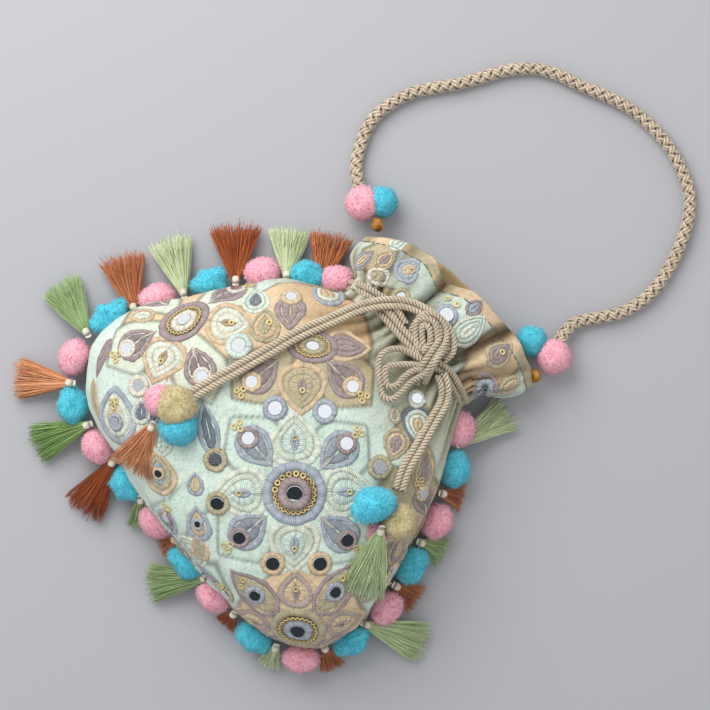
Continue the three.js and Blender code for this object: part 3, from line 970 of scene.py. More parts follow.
# Share of the way across a band, with the height and the painted shade there: darker at the edges,
# lighter on the crown
ACROSS_BAND = [
    (0.0, -0.4, 0.62), (0.09, 0.7, 0.92), (0.5, 1.0, 1.04), (0.91, 0.7, 0.92), (1.0, -0.4, 0.62),
]
# How far the ends of the stitches stray from the drawn outline
RAGGED = 0.26
# How far round a place its small creases are evened out
CREASE_SPAN = 5.0
# How high over the cloth a mirror's rim of stitches and a sequin are
RIM_HEIGHT = MIRROR_HEIGHT + 0.35
SEQUIN_HEIGHT = 0.95
# Gold thread bent to and fro: waves in a full turn, then for each of its two threads how far
# in it lies, how far it swings, how far ahead it starts, its height, its radius and its shade
ZIGZAG_WAVES = 24
ZIGZAG_THREADS = [(0, 0.575, 0, 0.95, 0.42, 1.0), (1.4, 0.4025, 1.5, 0.85, 0.3, 0.8)]


class Cloth:
    """The finished cloth, as something that needlework can be laid on."""

    def __init__(self, verts, quads):
        self.tree = BVHTree.FromPolygons(verts.tolist(), quads.tolist())

    def meet(self, start, way, reach=NEEDLE_REACH * 2):
        place, normal, _, _ = self.tree.ray_cast(Vector(start), Vector(way), reach)
        if place is None:
            ahead = Vector(start) + Vector(way) * NEEDLE_REACH
            place, normal, _, _ = self.tree.find_nearest(ahead)
        return np.array(place), np.array(normal)

    def smooth_normal(self, place, normal):
        """The way out of the cloth round a place, with its small creases evened out."""
        side = unit(np.cross(normal, (0.3, 0.2, 0.9) if abs(normal[2]) < 0.9 else (1, 0, 0)))
        other = np.cross(normal, side)
        total = np.array(normal) * 1.5
        for way in (side, -side, other, -other):
            start = place + way * CREASE_SPAN + normal * NEEDLE_REACH * 0.5
            found = self.meet(start, -normal, NEEDLE_REACH)[1]
            if found @ normal > 0.2:
                total += found
        return unit(total)


class Spot:
    """A place on the cloth with the way out of it and the way that a motif points."""

    def __init__(self, cloth, place, normal, up):
        self.cloth, self.place = cloth, place
        self.normal = cloth.smooth_normal(place, normal)
        up = np.asarray(up, float)
        self.up = unit(up - self.normal * (up @ self.normal))
        self.right = np.cross(self.up, self.normal)
        self.shape = np.eye(2)

    def squashed(self, share, heading):
        """The same spot, where whatever is laid is drawn in to that share along the heading."""
        angle = math.radians(heading)
        way = np.array([math.sin(angle), math.cos(angle)])
        spot = Spot(self.cloth, self.place, self.normal, self.up)
        spot.shape = np.eye(2) - (1 - share) * np.outer(way, way)
        return spot

    def walk(self, distance, heading):
        """The spot that far away along the cloth, pointing on the same way."""
        angle = math.radians(heading)
        way = self.up * math.cos(angle) + self.right * math.sin(angle)
        place, normal = self.place, self.normal
        count = max(1, math.ceil(distance / 5))
        for _ in range(count):
            start = place + way * distance / count + normal * NEEDLE_REACH * 0.5
            place, found = self.cloth.meet(start, -normal, NEEDLE_REACH)
            if found @ normal > 0.2:
                normal = unit(normal + found)
            way = unit(way - normal * (way @ normal))
        return Spot(self.cloth, place, normal, way)

    def lay(self, across, along, height):
        """Points of a flat pattern laid on the cloth, each at its own height over it."""
        laid = np.empty((len(across), 3))
        pattern = np.stack([across, along], axis=1) @ self.shape
        flat = self.place + np.outer(pattern[:, 0], self.right) + np.outer(pattern[:, 1], self.up)
        start = flat + self.normal * NEEDLE_REACH * 0.6
        for i, point in enumerate(start):
            place, found = self.cloth.meet(point, -self.normal)
            out = unit(found + self.normal)
            laid[i] = place + out * height[i]
        laid[:, 2] = np.maximum(laid[:, 2], 0.02)
        return laid


def circle(radius, steps):
    angle = np.arange(steps) * 2 * math.pi / steps
    return np.stack([np.cos(angle) * radius, np.sin(angle) * radius], axis=1)


def leaf(length, half_width, tip=1.0, base=0.3, steps=32):
    """A leaf about its own middle, its point away from the flower. Tip and base sharpen it."""
    angle = np.arange(steps) * 2 * math.pi / steps
    wide = np.sin(angle) * np.abs(np.cos(angle / 2)) ** tip * np.abs(np.sin(angle / 2)) ** base
    wide = wide / np.abs(wide).max() * half_width
    return np.stack([wide, -np.cos(angle) * length / 2], axis=1)


def inset(outline, depth):
    """The outline drawn in towards its middle by about the depth on every side."""
    half = np.abs(outline).max(0)
    return outline * np.maximum(0.04, (half - depth) / half)


class Needlework:
    """All the stitches of the bag, gathered as they are laid."""

    def __init__(self):
        self.satin = Heap()
        self.mirrors = []
        self.sequins = []
        self.gold = Heap()
        self.fields = []
        self.seed = 0

    def band(self, spot, outer, inner, colour, height=BAND_HEIGHT):
        """Satin stitch between two outlines, with painted shade in the creases along its edges."""
        self.seed += 1
        steps, rows = len(outer), len(ACROSS_BAND)
        share, lift, shade = np.array(ACROSS_BAND).T
        lift = np.where(lift > 0, lift * (height + 0.007 * (self.seed % 7)), lift)
        # Painted shade at the band's edges, deeper on higher bands
        shade = 1 - (1 - shade) * min(1, 0.1 + 1.4 * height)
        stray = np.random.default_rng(self.seed).normal(0, RAGGED, (2, steps, 1))
        outwards = unit(outer - inner)
        outer, inner = outer + outwards * stray[0], inner + outwards * stray[1] * 0.5
        flat = inner[:, None] + (outer - inner)[:, None] * share[None, :, None]
        flat = flat.reshape(-1, 2)
        verts = spot.lay(flat[:, 0], flat[:, 1], np.tile(lift, steps))
        j, k = np.arange(steps)[:, None], np.arange(rows)[None]
        j2, k2 = (j + 1) % steps, (k + 1) % rows
        quads = np.stack([
            j * rows + k, j * rows + k2, j2 * rows + k2, j2 * rows + k,
        ], axis=-1).reshape(-1, 4)
        middle = (outer + inner) / 2
        run = np.linalg.norm(np.roll(middle, -1, axis=0) - middle, axis=1)
        along = np.concatenate([[0], np.cumsum(run)[:-1]])
        width = np.linalg.norm(outer - inner, axis=1)
        thread = np.stack([
            np.repeat(along, rows),
            (share[None] * width[:, None]).ravel(),
            np.full(steps * rows, self.seed * 1.7 % 50),
        ], axis=1)
        uneven = 1 + 0.05 * np.sin(along * 1.9 + self.seed) + 0.04 * np.sin(along * 4.3)
        shade = (shade[None] * uneven[:, None]).reshape(-1, 1)
        self.satin.add(verts, quads, tint=np.asarray(colour) * shade, thread=thread)

    def filled(self, spot, outline, colour, height=BAND_HEIGHT):
        """Satin stitch all the way in to a crease down the middle."""
        spine = outline * (0.03, 0.55)
        self.band(spot, outline, spine, colour, height)

    def ring(self, spot, outer, inner, colour, height=BAND_HEIGHT, steps=28):
        self.band(spot, circle(outer, steps), circle(inner, steps), colour, height)

    def mirror(self, spot, radius, colour, rim, steps=28, lean=0.0):
        """A round mirror held down by a ring of stitches."""
        self.ring(spot, radius + rim, radius - 0.6, colour, RIM_HEIGHT, steps)
        self.mirrors.append((spot, radius, lean))

    def field(self, spot, rows, colour):
        """Ground colour inside a shape that is drawn as half widths along the spot's way."""
        self.fields.append((spot, rows, colour))

    def sequin(self, spot, radius=2.0):
        self.sequins.append((spot, radius))

    def sequin_group(self, spot, count=3):
        """Two or three sequins that touch, beyond a mirror."""
        for k in range(count):
            self.sequin(spot.walk(2.4, k * 360 / count + 60))

    def stem(self, spot, length, colour, width=0.7):
        """A line of stem stitch, pointing out from the flower."""
        self.filled(spot, leaf(length, width, 0.3, 0.3, 12), colour, 0.8)

    def zigzag(self, spot, radius, start, end):
        """Gold thread bent to and fro round part of a circle, over a dark ring of painted shadow.
        """
        count = int(ZIGZAG_WAVES * 7 * (end - start) / 360) + 2
        heading = np.radians(np.linspace(start, end, count))
        for inwards, swing, ahead, height, thickness, shade in ZIGZAG_THREADS:
            reach = radius - inwards + swing * np.sin(heading * ZIGZAG_WAVES + ahead)
            across, along = np.sin(heading) * reach, np.cos(heading) * reach
            line = spot.lay(across, along, np.full(len(reach), height))
            line[:, 2] = np.maximum(line[:, 2], LOWEST_THREAD)
            self.gold.add(*tube(line, thickness, 5)[:3], tint=np.asarray(GOLD) * shade)


class Look:
    """The colours of one kind of flower."""

    def __init__(self, fields, ring, petal, leaf, seed_leaf, lean=(0.0, 0.0)):
        self.ground, self.kite = fields
        self.ring, self.heart = ring
        self.petal, self.petal_in, self.petal_heart = petal
        self.leaf, self.rim = leaf
        self.seed_leaf = seed_leaf
        self.centre_lean, self.leaf_lean = lean


BROWN = (0.72, 0.62, 0.50)
DUSTY_MAUVE = (0.72, 0.65, 0.62)
MINT_FLOWER = Look(
    (MINT, (0.80, 0.87, 0.81)), (GREY_BLUE, MAUVE), (PALE_MINT, WARM_MINT, MINT),
    (GREY_BLUE, MAUVE), GREY_BLUE, (0.35, 0.0),
)
LOWER_FLOWER = Look(
    (PEACH, None), (KHAKI, GREY_BLUE), (PEACH, DUSTY_MAUVE, PEACH), (MAUVE, GREY_BLUE), MAUVE,
    (-0.25, -0.1),
)
PEACH_FLOWER = Look(
    (PEACH, KHAKI), (MAUVE, KHAKI), (PEACH, KHAKI, KHAKI), (MAUVE, PEACH), MAUVE, (0.3, 0.0),
)
MAUVE_FLOWER = Look(
    (PEACH, WARM_MINT), (MAUVE, CREAM), (PEACH, PALE_MINT, PALE_MINT), (MAUVE, CREAM), BROWN,
    (0.12, 0.16),
)
FIELD_REACH = 66
EDGE_SHADE = 0.3
# Half widths along the way out of a flower, for the ground round its middle and its leaves
ROUND_GROUND = [
    (-44, 0), (-41, 17), (-33, 29), (-17, 40), (0, 44), (17, 40), (33, 29), (41, 17), (44, 0),
]
KITE = [(10, 4), (24, 12.5), (36, 19), (44, 19), (51, 11), (60, 0)]
# A dark ring under the gold zigzag: painted shadow of the thread
SHADOW_UNDER_GOLD = (0.42, 0.33, 0.22)
# Sizes in a flower of full size: length and half width of a petal, how far in its border and
# its heart begin, and the leaf in its heart
PETAL_LENGTH, PETAL_HALF, PETAL_BORDER, PETAL_HEART = 35.5, 16.5, 4.4, 8.6
SEED_LENGTH, SEED_HALF = 12, 3.1
# Length, half width and border of the leaf that cups a mirror, and of the long pointed one
CUP_LENGTH, CUP_HALF, CUP_BORDER = 30, 11.5, 4.2
KITE_LENGTH, KITE_HALF, KITE_BORDER = 46, 13, 3.6
# How far from the flower's middle the middles of its petals and leaves are
PETAL_AWAY, CUP_AWAY, KITE_AWAY = 32.5, 36, 41


def petal(work, spot, look, scale):
    """A broad petal with a paler border, and a small leaf and a sequin in its middle."""
    outer = leaf(PETAL_LENGTH * scale, PETAL_HALF * scale, 0.9, 0.05, 44)
    middle = inset(outer, PETAL_BORDER * scale)
    inner = inset(outer, PETAL_HEART * scale)
    work.band(spot, outer, middle, look.petal, 0.36)
    work.band(spot, middle, inner, look.petal_in, 0.32)
    work.filled(spot, inner, look.petal_heart, 0.3)
    heart = leaf(SEED_LENGTH * scale, SEED_HALF * scale, 1.0, 0.8, 20)
    work.filled(spot.walk(1.5, 180), heart, look.seed_leaf, 0.6)
    work.sequin(spot.walk(1.0 * scale, 0), 1.9)


def mirror_leaf(work, spot, look, scale):
    """A leaf that cups a ringed mirror, with three sequins beyond it."""
    outline = leaf(CUP_LENGTH * scale, CUP_HALF * scale, 0.25, 0.95, 36)
    inner = inset(outline, CUP_BORDER * scale)
    work.band(spot, outline, inner, look.leaf, 0.5)
    work.filled(spot, inner, np.asarray(look.leaf) * 0.86, 0.4)
    work.stem(spot.walk(9 * scale, 180), 14 * scale, CREAM)
    work.mirror(spot.walk(7.5 * scale, 0), 4.1 * scale, look.rim, 2.7 * scale,
                lean=look.leaf_lean)
    work.sequin_group(spot.walk(17 * scale, 0))


def kite_leaf(work, spot, look, scale):
    """A long pointed leaf with a ringed mirror in its middle and sequins under its point."""
    outline = leaf(KITE_LENGTH * scale, KITE_HALF * scale, 0.9, 0.35, 36)
    inner = inset(outline, KITE_BORDER * scale)
    work.band(spot, outline, inner, look.leaf, 0.5)
    work.filled(spot, inner, KHAKI, 0.35)
    work.mirror(spot.walk(1.5 * scale, 180), 4.0 * scale, look.rim, 3.4 * scale,
                lean=look.leaf_lean)
    work.sequin_group(spot.walk(10.5 * scale, 0), 2)


def flower_middle(work, spot, look, scale, gold_from):
    """A mirror in rings of stitches, with gold thread and sequins round it."""
    # The middle ring, under the gold zigzag, is painted shadow
    for outer, inner, colour, height, steps in (
        (19.8, 13.4, look.ring, 0.75, 56),
        (13.6, 10.2, SHADOW_UNDER_GOLD, 0.5, 36),
        (10.6, 4.4, look.heart, RIM_HEIGHT, 36),
    ):
        work.ring(spot, outer * scale, inner * scale, colour, height, steps)
    work.mirrors.append((spot, 5.0 * scale, look.centre_lean))
    work.zigzag(spot, 12.4 * scale, gold_from, 270)
    for k in range(6 if gold_from > -90 else 0):
        heading = gold_from - 12 - k * (gold_from + 78) / 5.5
        work.sequin(spot.walk(12 * scale, heading), 1.95)


def flower(work, spot, look, scale=1.0, petals=(0, 90, 180, 270), leaves=(45, 135, 225, 315),
           gold_from=38, has_middle=True, make_leaf=mirror_leaf, leaf_away=CUP_AWAY):
    """A round flower on its ground: its middle, with petals and leaves at their headings."""
    if look.ground is not MINT:
        work.field(spot, [(y * scale, x * scale) for y, x in ROUND_GROUND], look.ground)
    for heading in leaves if look.kite else ():
        rows = [(y * scale, x * scale) for y, x in KITE]
        work.field(spot.walk(0.01, heading), rows, look.kite)
    if has_middle:
        flower_middle(work, spot, look, scale, gold_from)
    for heading in petals:
        petal(work, spot.walk(PETAL_AWAY * scale, heading), look, scale)
    for heading in leaves:
        make_leaf(work, spot.walk(leaf_away * scale, heading), look, scale)


def nested_leaf(work, spot, colours, length, half_width, mirror=0.0):
    """Leaves one inside the other, some with a small mirror in the middle."""
    outline = leaf(length, half_width, 0.9, 0.2, 30)
    step = half_width / (len(colours) + 0.3)
    for colour in colours[:-1]:
        work.band(spot, outline, inset(outline, step), colour, 0.5)
        outline = inset(outline, step * 1.02)
    work.filled(spot, outline, colours[-1], 0.45)
    if mirror:
        work.mirror(spot, mirror, colours[0], 1.8, 20)


# The ring of the skin that the hem is stitched along, and how many points a stitch spans
HEM_ROW = 215
HEM_DASH = 4


def sew_hem(grid):
    """Running stitch round the frill, a little inside its rim."""
    ring, out = grid[HEM_ROW], ring_normals(grid)[HEM_ROW]
    heap = Heap()
    for first in range(0, SIDES, HEM_DASH + 1):
        dash = np.arange(first, first + HEM_DASH) % SIDES
        line = ring[dash] + out[dash] * 0.2
        line[:, 2] = np.maximum(line[:, 2], 0.4)
        heap.add(*tube(line, 0.36, 5)[:3], tint=HEM_TEAL)
    finish_piece(heap.build("hem_stitches"), cord_finish("hem_yarn", 0.6))


# Where the needlework goes: across and along the bag, in millimetres, on its upper side

PATTERN_UP = np.array(IMAGE_UP)
MIDDLE_FLOWER = (29, 6)
# Ringed mirrors round the middle flower: distance, heading, colour of the ring, lean
MIDDLE_GUARDS = [
    (52.6, -13, GREY_BLUE, 0), (52.6, 20, GREY_BLUE, 0), (54.5, 74, KHAKI, 0),
    (49, 104, KHAKI, 0), (46, 160, PEACH, 0), (45.6, 197, PEACH, 0), (47, 262, KHAKI, 0.3),
    (51.8, 293, KHAKI, 0),
]
LOWER_GUARDS = (72, 108, 252, 288)
BACK_FLOWERS = [
    (0, 0, MINT_FLOWER), (-72, 18, PEACH_FLOWER), (72, 10, MAUVE_FLOWER), (10, 78, PEACH_FLOWER),
]
# Coloured ground on the frill: across, along, half widths from the neck to the rim
FRILL_FIELDS = [
    (-54, 136, [(-14, 3), (-6, 10), (6, 8), (16, 3)], KHAKI),
    (-26, 126, [(-10, 12), (0, 11), (6, 2)], KHAKI),
    (43, 150, [(-26, 6), (-14, 12), (4, 15), (20, 13)], PEACH),
    (58, 132, [(-14, 8), (0, 12), (14, 6)], KHAKI),
]


def over(cloth, x, y, up=PATTERN_UP):
    place, normal = cloth.meet((x, y, 200), (0, 0, -1), 400)
    return Spot(cloth, place, normal, up)


def under(cloth, x, y, up=PATTERN_UP):
    place, normal = cloth.meet((x, y, -50), (0, 0, 1), 400)
    return Spot(cloth, place, normal, up)


def lay_front(work, cloth):
    """The flowers that the upper side shows, and the ringed mirrors between them."""
    middle = over(cloth, *MIDDLE_FLOWER)
    left = over(cloth, -95, 17).squashed(0.72, -47)
    flower(work, left, MAUVE_FLOWER, 0.9, petals=(94, 201), leaves=(45, 158, 241, 315),
           gold_from=-90)
    nested_leaf(work, left.walk(28, 279), (PEACH, PALE_MINT), 18, 7)
    upper = middle.walk(94, 5)
    flower(work, upper, PEACH_FLOWER, 0.95, petals=(180,), leaves=(132, 228), has_middle=False)
    flower_middle(work, middle.walk(90, 8).squashed(0.66, 0), PEACH_FLOWER, 0.82, -90)
    lower = middle.walk(90, 179)
    flower(work, lower, LOWER_FLOWER, 0.9, leaves=(42, 135, 225, 318), gold_from=-90,
           make_leaf=kite_leaf, leaf_away=KITE_AWAY)
    flower(work, middle, MINT_FLOWER, 1.0, leaves=(-40, 47, 132, 231))
    for distance, heading, colour, lean in MIDDLE_GUARDS:
        work.mirror(middle.walk(distance, heading), 4.4, colour, 3.4, lean=lean)
    for heading in LOWER_GUARDS:
        work.mirror(lower.walk(50, heading), 3.8, KHAKI, 3.0)
    flower(work, middle.walk(104, 110), PEACH_FLOWER, 0.8)
    flower(work, middle.walk(112, 238), MINT_FLOWER, 0.8)


def lay_back(work, cloth):
    """The same flowers on the side that the bag lies on."""
    for x, y, look in BACK_FLOWERS:
        flower(work, under(cloth, x, y), look, 0.85)


def lay_small(work, cloth):
    nested_leaf(work, over(cloth, -31, -52), (PEACH, KHAKI, GREY_BLUE), 30, 12, 2.6)
    spot = over(cloth, -75, -52)
    nested_leaf(work, spot, (GREY_BLUE, PALE_MINT, PEACH), 38, 16)
    work.mirror(spot.walk(4, 180), 3.4, GREY_BLUE, 2.6, lean=0.3)
    work.sequin_group(spot.walk(8, 0))
    nested_leaf(work, over(cloth, -62, -32), (GREY_BLUE, SLATE), 16, 5)
    nested_leaf(work, over(cloth, 8, -52), (GREY_BLUE, PEACH), 24, 9, 2.2)
    nested_leaf(work, over(cloth, -12, -38), (GREY_BLUE, PEACH), 15, 6)
    nested_leaf(work, over(cloth, 67, 77), (KHAKI, PEACH, KHAKI, MAUVE), 32, 10)
    nested_leaf(work, over(cloth, 44, 72, (0.4, -0.6, 0)), (KHAKI, PEACH, MAUVE), 21, 9)
    spot = over(cloth, 43, 90, (0.6, -0.8, 0))
    nested_leaf(work, spot, (SLATE, MINT, PALE_MINT, PEACH), 24, 11)
    nested_leaf(work, over(cloth, -34, -11, (-1, 0.5, 0)), (GREY_BLUE, SLATE), 34, 7)
    work.mirror(over(cloth, -62, 34), 4.4, MINT, 4.2, lean=0.16)
    nested_leaf(work, over(cloth, -67, -37), (PALE_MINT, SLATE), 17, 7)
    work.mirror(over(cloth, -80, -29), 3.6, CREAM, 3.6, lean=0.16)
    nested_leaf(work, over(cloth, -45, -38), (PALE_MINT, MINT), 20, 7)
    nested_leaf(work, over(cloth, -59, 71, -PATTERN_UP), (MAUVE, MAUVE), 25, 10)
    work.mirror(over(cloth, -66, 77), 3.4, PEACH, 3.4, lean=0.07)
    spot = over(cloth, -62, 54)
    nested_leaf(work, spot, (KHAKI, PEACH, KHAKI), 24, 10)
    work.sequin(spot.walk(3, 60))
    nested_leaf(work, over(cloth, -21, 86, IMAGE_RIGHT), (PEACH, MAUVE, MAUVE), 30, 11)
    nested_leaf(work, over(cloth, -108, -37, (11.5, -18.8, 0)), (MAUVE, MAUVE), 26, 4)
    nested_leaf(work, over(cloth, -91, -57, (21, -13, 0)), (PEACH, KHAKI), 26, 4)
    nested_leaf(work, over(cloth, -78, 59), (PALE_MINT, MINT, SLATE), 22, 9)
    nested_leaf(work, over(cloth, -55, 96), (GREY_BLUE, PALE_MINT, PEACH), 24, 11)
    nested_leaf(work, over(cloth, 20, -61), (PEACH, KHAKI), 20, 7)
    nested_leaf(work, over(cloth, 96, 34), (KHAKI, MAUVE, PEACH), 24, 9)


def lay_frill(work, cloth):
    """Motifs on the lobes of the frill, pointing to the rim."""
    rimward = (0, 1, 0)
    for x, y, rows, colour in FRILL_FIELDS:
        work.field(over(cloth, x, y, rimward), rows, colour)
    spot = over(cloth, -36, 144, rimward)
    nested_leaf(work, spot, (GREY_BLUE, GREY_BLUE, PEACH), 19, 9)
    work.ring(spot.walk(3, 60), 2.6, 0.9, PEACH, 1.2, 14)
    nested_leaf(work, over(cloth, -49, 137, rimward), (KHAKI, PEACH, MAUVE), 16, 6)
    nested_leaf(work, over(cloth, -44, 127, rimward), (CREAM, KHAKI), 13, 6)
    work.mirror(over(cloth, -25, 130, rimward), 3.2, KHAKI, 2.8)
    nested_leaf(work, over(cloth, -58, 126, rimward), (MAUVE, GREY_BLUE, PEACH), 17, 5)
    spot = over(cloth, 1, 145, rimward)
    work.mirror(spot, 4.6, GREY_BLUE, 2.8)
    work.sequin(over(cloth, -6, 152, rimward))
    work.sequin(over(cloth, 0, 154, rimward))
    nested_leaf(work, over(cloth, 17, 151, rimward), (PALE_MINT, MINT, PALE_MINT), 27, 9)
    nested_leaf(work, over(cloth, 8, 162, rimward), (MAUVE, GREY_BLUE), 14, 5)
    nested_leaf(work, over(cloth, 40, 157, rimward), (KHAKI, MAUVE, MAUVE), 21, 8)
    work.sequin(over(cloth, 40, 158, rimward), 1.9)
    spot = over(cloth, 51, 137, (0.6, 1, 0))
    work.ring(spot, 8.2, 5.6, MAUVE, 0.5)
    work.ring(spot, 5.8, 1.2, GREY_BLUE, 0.6)
    work.stem(spot, 5, HEM_TEAL, 1.1)
    nested_leaf(work, over(cloth, 18, 132, rimward), (PALE_MINT, SLATE), 15, 5)
    nested_leaf(work, over(cloth, 60, 150, rimward), (KHAKI, PEACH), 17, 6)
    nested_leaf(work, over(cloth, -52, 150, rimward), (PALE_MINT, MINT), 14, 5)
    work.mirror(over(cloth, 30, 99), 3.6, PALE_MINT, 2.6)
    nested_leaf(work, over(cloth, 29, 82.5), (KHAKI, CREAM, KHAKI), 12, 4.5)
    nested_leaf(work, over(cloth, 50, 88), (KHAKI, PEACH), 13, 6)


# Poms, tassels and small hardware

FIBRES = 1850
# A pom's core and the roots of its yarn, as shares of the way out
CORE_SHARE, ROOT_SHARE = 0.90, 0.81
# How deep a pom's dimple is, as a share of its radius, and how wide, in radians
DIMPLE_DEPTH, DIMPLE_WIDTH = 0.42, 0.5
THREADS, SHORT_THREADS = 340, 190
TASSEL_ROWS = 5
# A tassel's half width and half height at its neck
NECK_WIDE, NECK_HIGH = 1.7, 1.5
# The thread wound round a tassel's neck: radius, turns, and how far on each turn lies
BINDING_RADIUS, BINDING_TURNS, BINDING_PITCH = 1.75, 4, 0.85
MIRROR_SILVER = (0.93, 0.95, 0.97)
SEQUIN_GOLD = (0.97, 0.89, 0.65)


def taken_apart(made):
    """A modelled template's points and triangles, once the template itself is gone."""
    mesh = made.data
    mesh.calc_loop_triangles()
    verts = np.empty(len(mesh.vertices) * 3)
    mesh.vertices.foreach_get("co", verts)
    tris = np.empty(len(mesh.loop_triangles) * 3, np.int32)
    mesh.loop_triangles.foreach_get("vertices", tris)
    bpy.data.objects.remove(made)
    return verts.reshape(-1, 3), tris.reshape(-1, 3)


def ball_template():
    bpy.ops.mesh.primitive_ico_sphere_add(subdivisions=3, radius=1)
    verts, tris = taken_apart(bpy.context.object)
    return unit(verts), tris


def mirror_template():
    """A thin glass disc with a ground edge."""
    bpy.ops.mesh.primitive_cylinder_add(vertices=22, radius=1, depth=0.16)
    made = bpy.context.object
    bpy.ops.object.mode_set(mode="EDIT")
    bpy.ops.mesh.select_all(action="SELECT")
    bpy.ops.mesh.bevel(offset=0.05, segments=1)
    bpy.ops.object.mode_set(mode="OBJECT")
    return taken_apart(made)


def sequin_template():
    """A cupped sequin: a flat ring whose hole sits lower than its rim."""
    bpy.ops.mesh.primitive_torus_add(
        major_segments=14, minor_segments=6, major_radius=0.70, minor_radius=0.30,
    )
    made = bpy.context.object
    bpy.ops.object.mode_set(mode="EDIT")
    bpy.ops.mesh.select_all(action="SELECT")
    bpy.ops.transform.resize(value=(1, 1, 0.5))
    bpy.ops.object.mode_set(mode="OBJECT")
    for vert in made.data.vertices:
        vert.co.z += 0.25 * (math.hypot(vert.co.x, vert.co.y) - 0.6)
    return taken_apart(made)


def bead_template():
    """A round bead with its hole sunk in at both ends."""
    bpy.ops.mesh.primitive_uv_sphere_add(segments=24, ring_count=14, radius=1)
    made = bpy.context.object
    bpy.ops.object.mode_set(mode="EDIT")
    for end in (1, -1):
        bpy.ops.mesh.select_all(action="DESELECT")
        bpy.ops.object.mode_set(mode="OBJECT")
        for face in made.data.polygons:
            face.select = face.center.z * end > 0.93
        bpy.ops.object.mode_set(mode="EDIT")
        bpy.ops.mesh.select_mode(type="FACE")
        bpy.ops.mesh.inset(thickness=0.04)
        bpy.ops.mesh.extrude_region_move(TRANSFORM_OT_translate={"value": (0, 0, -0.45 * end)})
    bpy.ops.object.mode_set(mode="OBJECT")
    return taken_apart(made)


def placed(verts, place, normal, up, scale):
    """Template points turned so that their Z is the normal, and moved to the place."""
    normal = unit(np.asarray(normal, float))
    right = unit(np.cross(up, normal))
    up = np.cross(normal, right)
    scale = np.broadcast_to(np.asarray(scale, float), (3,))
    turned = verts * scale
    return place + turned[:, :1] * right + turned[:, 1:2] * up + turned[:, 2:] * normal


def over_table(verts):
    """The points raised together until none of them is under the table's top."""
    verts[:, 2] += max(0, 0.03 - verts[:, 2].min())
    return verts


def pom_reach(ways, radius, along, stretch, lumps, seed, dimple):
    """How far the pom's surface is from its middle, each way."""
    squash = 1 / math.sqrt(stretch)
    on_axis = ways @ along
    reach = 1 / np.sqrt((on_axis / stretch) ** 2 + (1 - on_axis ** 2) / squash ** 2)
    reach = radius * reach * (1 + lumps * soft_noise(ways, 1.1, seed))
    if dimple is not None:
        off = np.arccos(np.clip(ways @ unit(np.asarray(dimple, float)), -1, 1))
        reach = reach * (1 - DIMPLE_DEPTH * np.exp(-((off / DIMPLE_WIDTH) ** 2)))
    return reach


def fluff(ball, centre, radius, tint, seed, along=(1, 0, 0), stretch=1.0, lumps=0.03,
          dimple=None):
    """A pom: a lumpy core, and fine cut ends of yarn that stand out of it all over."""
    ways, tris = ball
    own = np.random.default_rng(seed)
    along = unit(np.asarray(along, float))
    shape = (radius, along, stretch, lumps, seed, dimple)
    heap = Heap()
    rough = CORE_SHARE + 0.015 * soft_noise(ways * 10, 1.6, seed + 50)
    core = centre + ways * (pom_reach(ways, *shape) * rough)[:, None]
    core[:, 2] = np.maximum(core[:, 2], 0.2)
    # The core is painted a little darker than the yarn, as shade under the fibres
    heap.add(core, tris=tris, tint=np.asarray(tint) * 0.96)
    out = unit(own.normal(size=(FIBRES, 3)))
    lean = unit(out + own.normal(scale=0.1, size=out.shape))
    root = centre + out * (pom_reach(out, *shape) * ROOT_SHARE)[:, None]
    end = centre + lean * (pom_reach(lean, *shape) * own.normal(1.0, 0.04, FIBRES))[:, None]
    end[:, 2] = np.maximum(end[:, 2], 0.15)
    axis = unit(end - root)
    side = unit(np.cross(axis, own.normal(size=axis.shape)))
    other = np.cross(axis, side)
    width = own.uniform(0.3, 0.5, FIBRES)[:, None]
    corners = [
        root + (side * math.cos(a) + other * math.sin(a)) * width
        for a in (0, 2 * math.pi / 3, 4 * math.pi / 3)
    ]
    verts = np.stack(corners + [end], axis=1).reshape(-1, 3)
    first = np.arange(FIBRES)[:, None] * 4
    faces = [first + f for f in ([0, 1, 3], [1, 2, 3], [2, 0, 3], [2, 1, 0])]
    # Painted shade and light: each fibre is darker at its root and lighter at its tip
    shade = own.uniform(0.93, 1.05, FIBRES)[:, None] * np.array([[0.92, 0.92, 0.92, 1.06]])
    heap.add(verts, tris=np.concatenate(faces), tint=np.asarray(tint) * shade.reshape(-1, 1))
    return heap


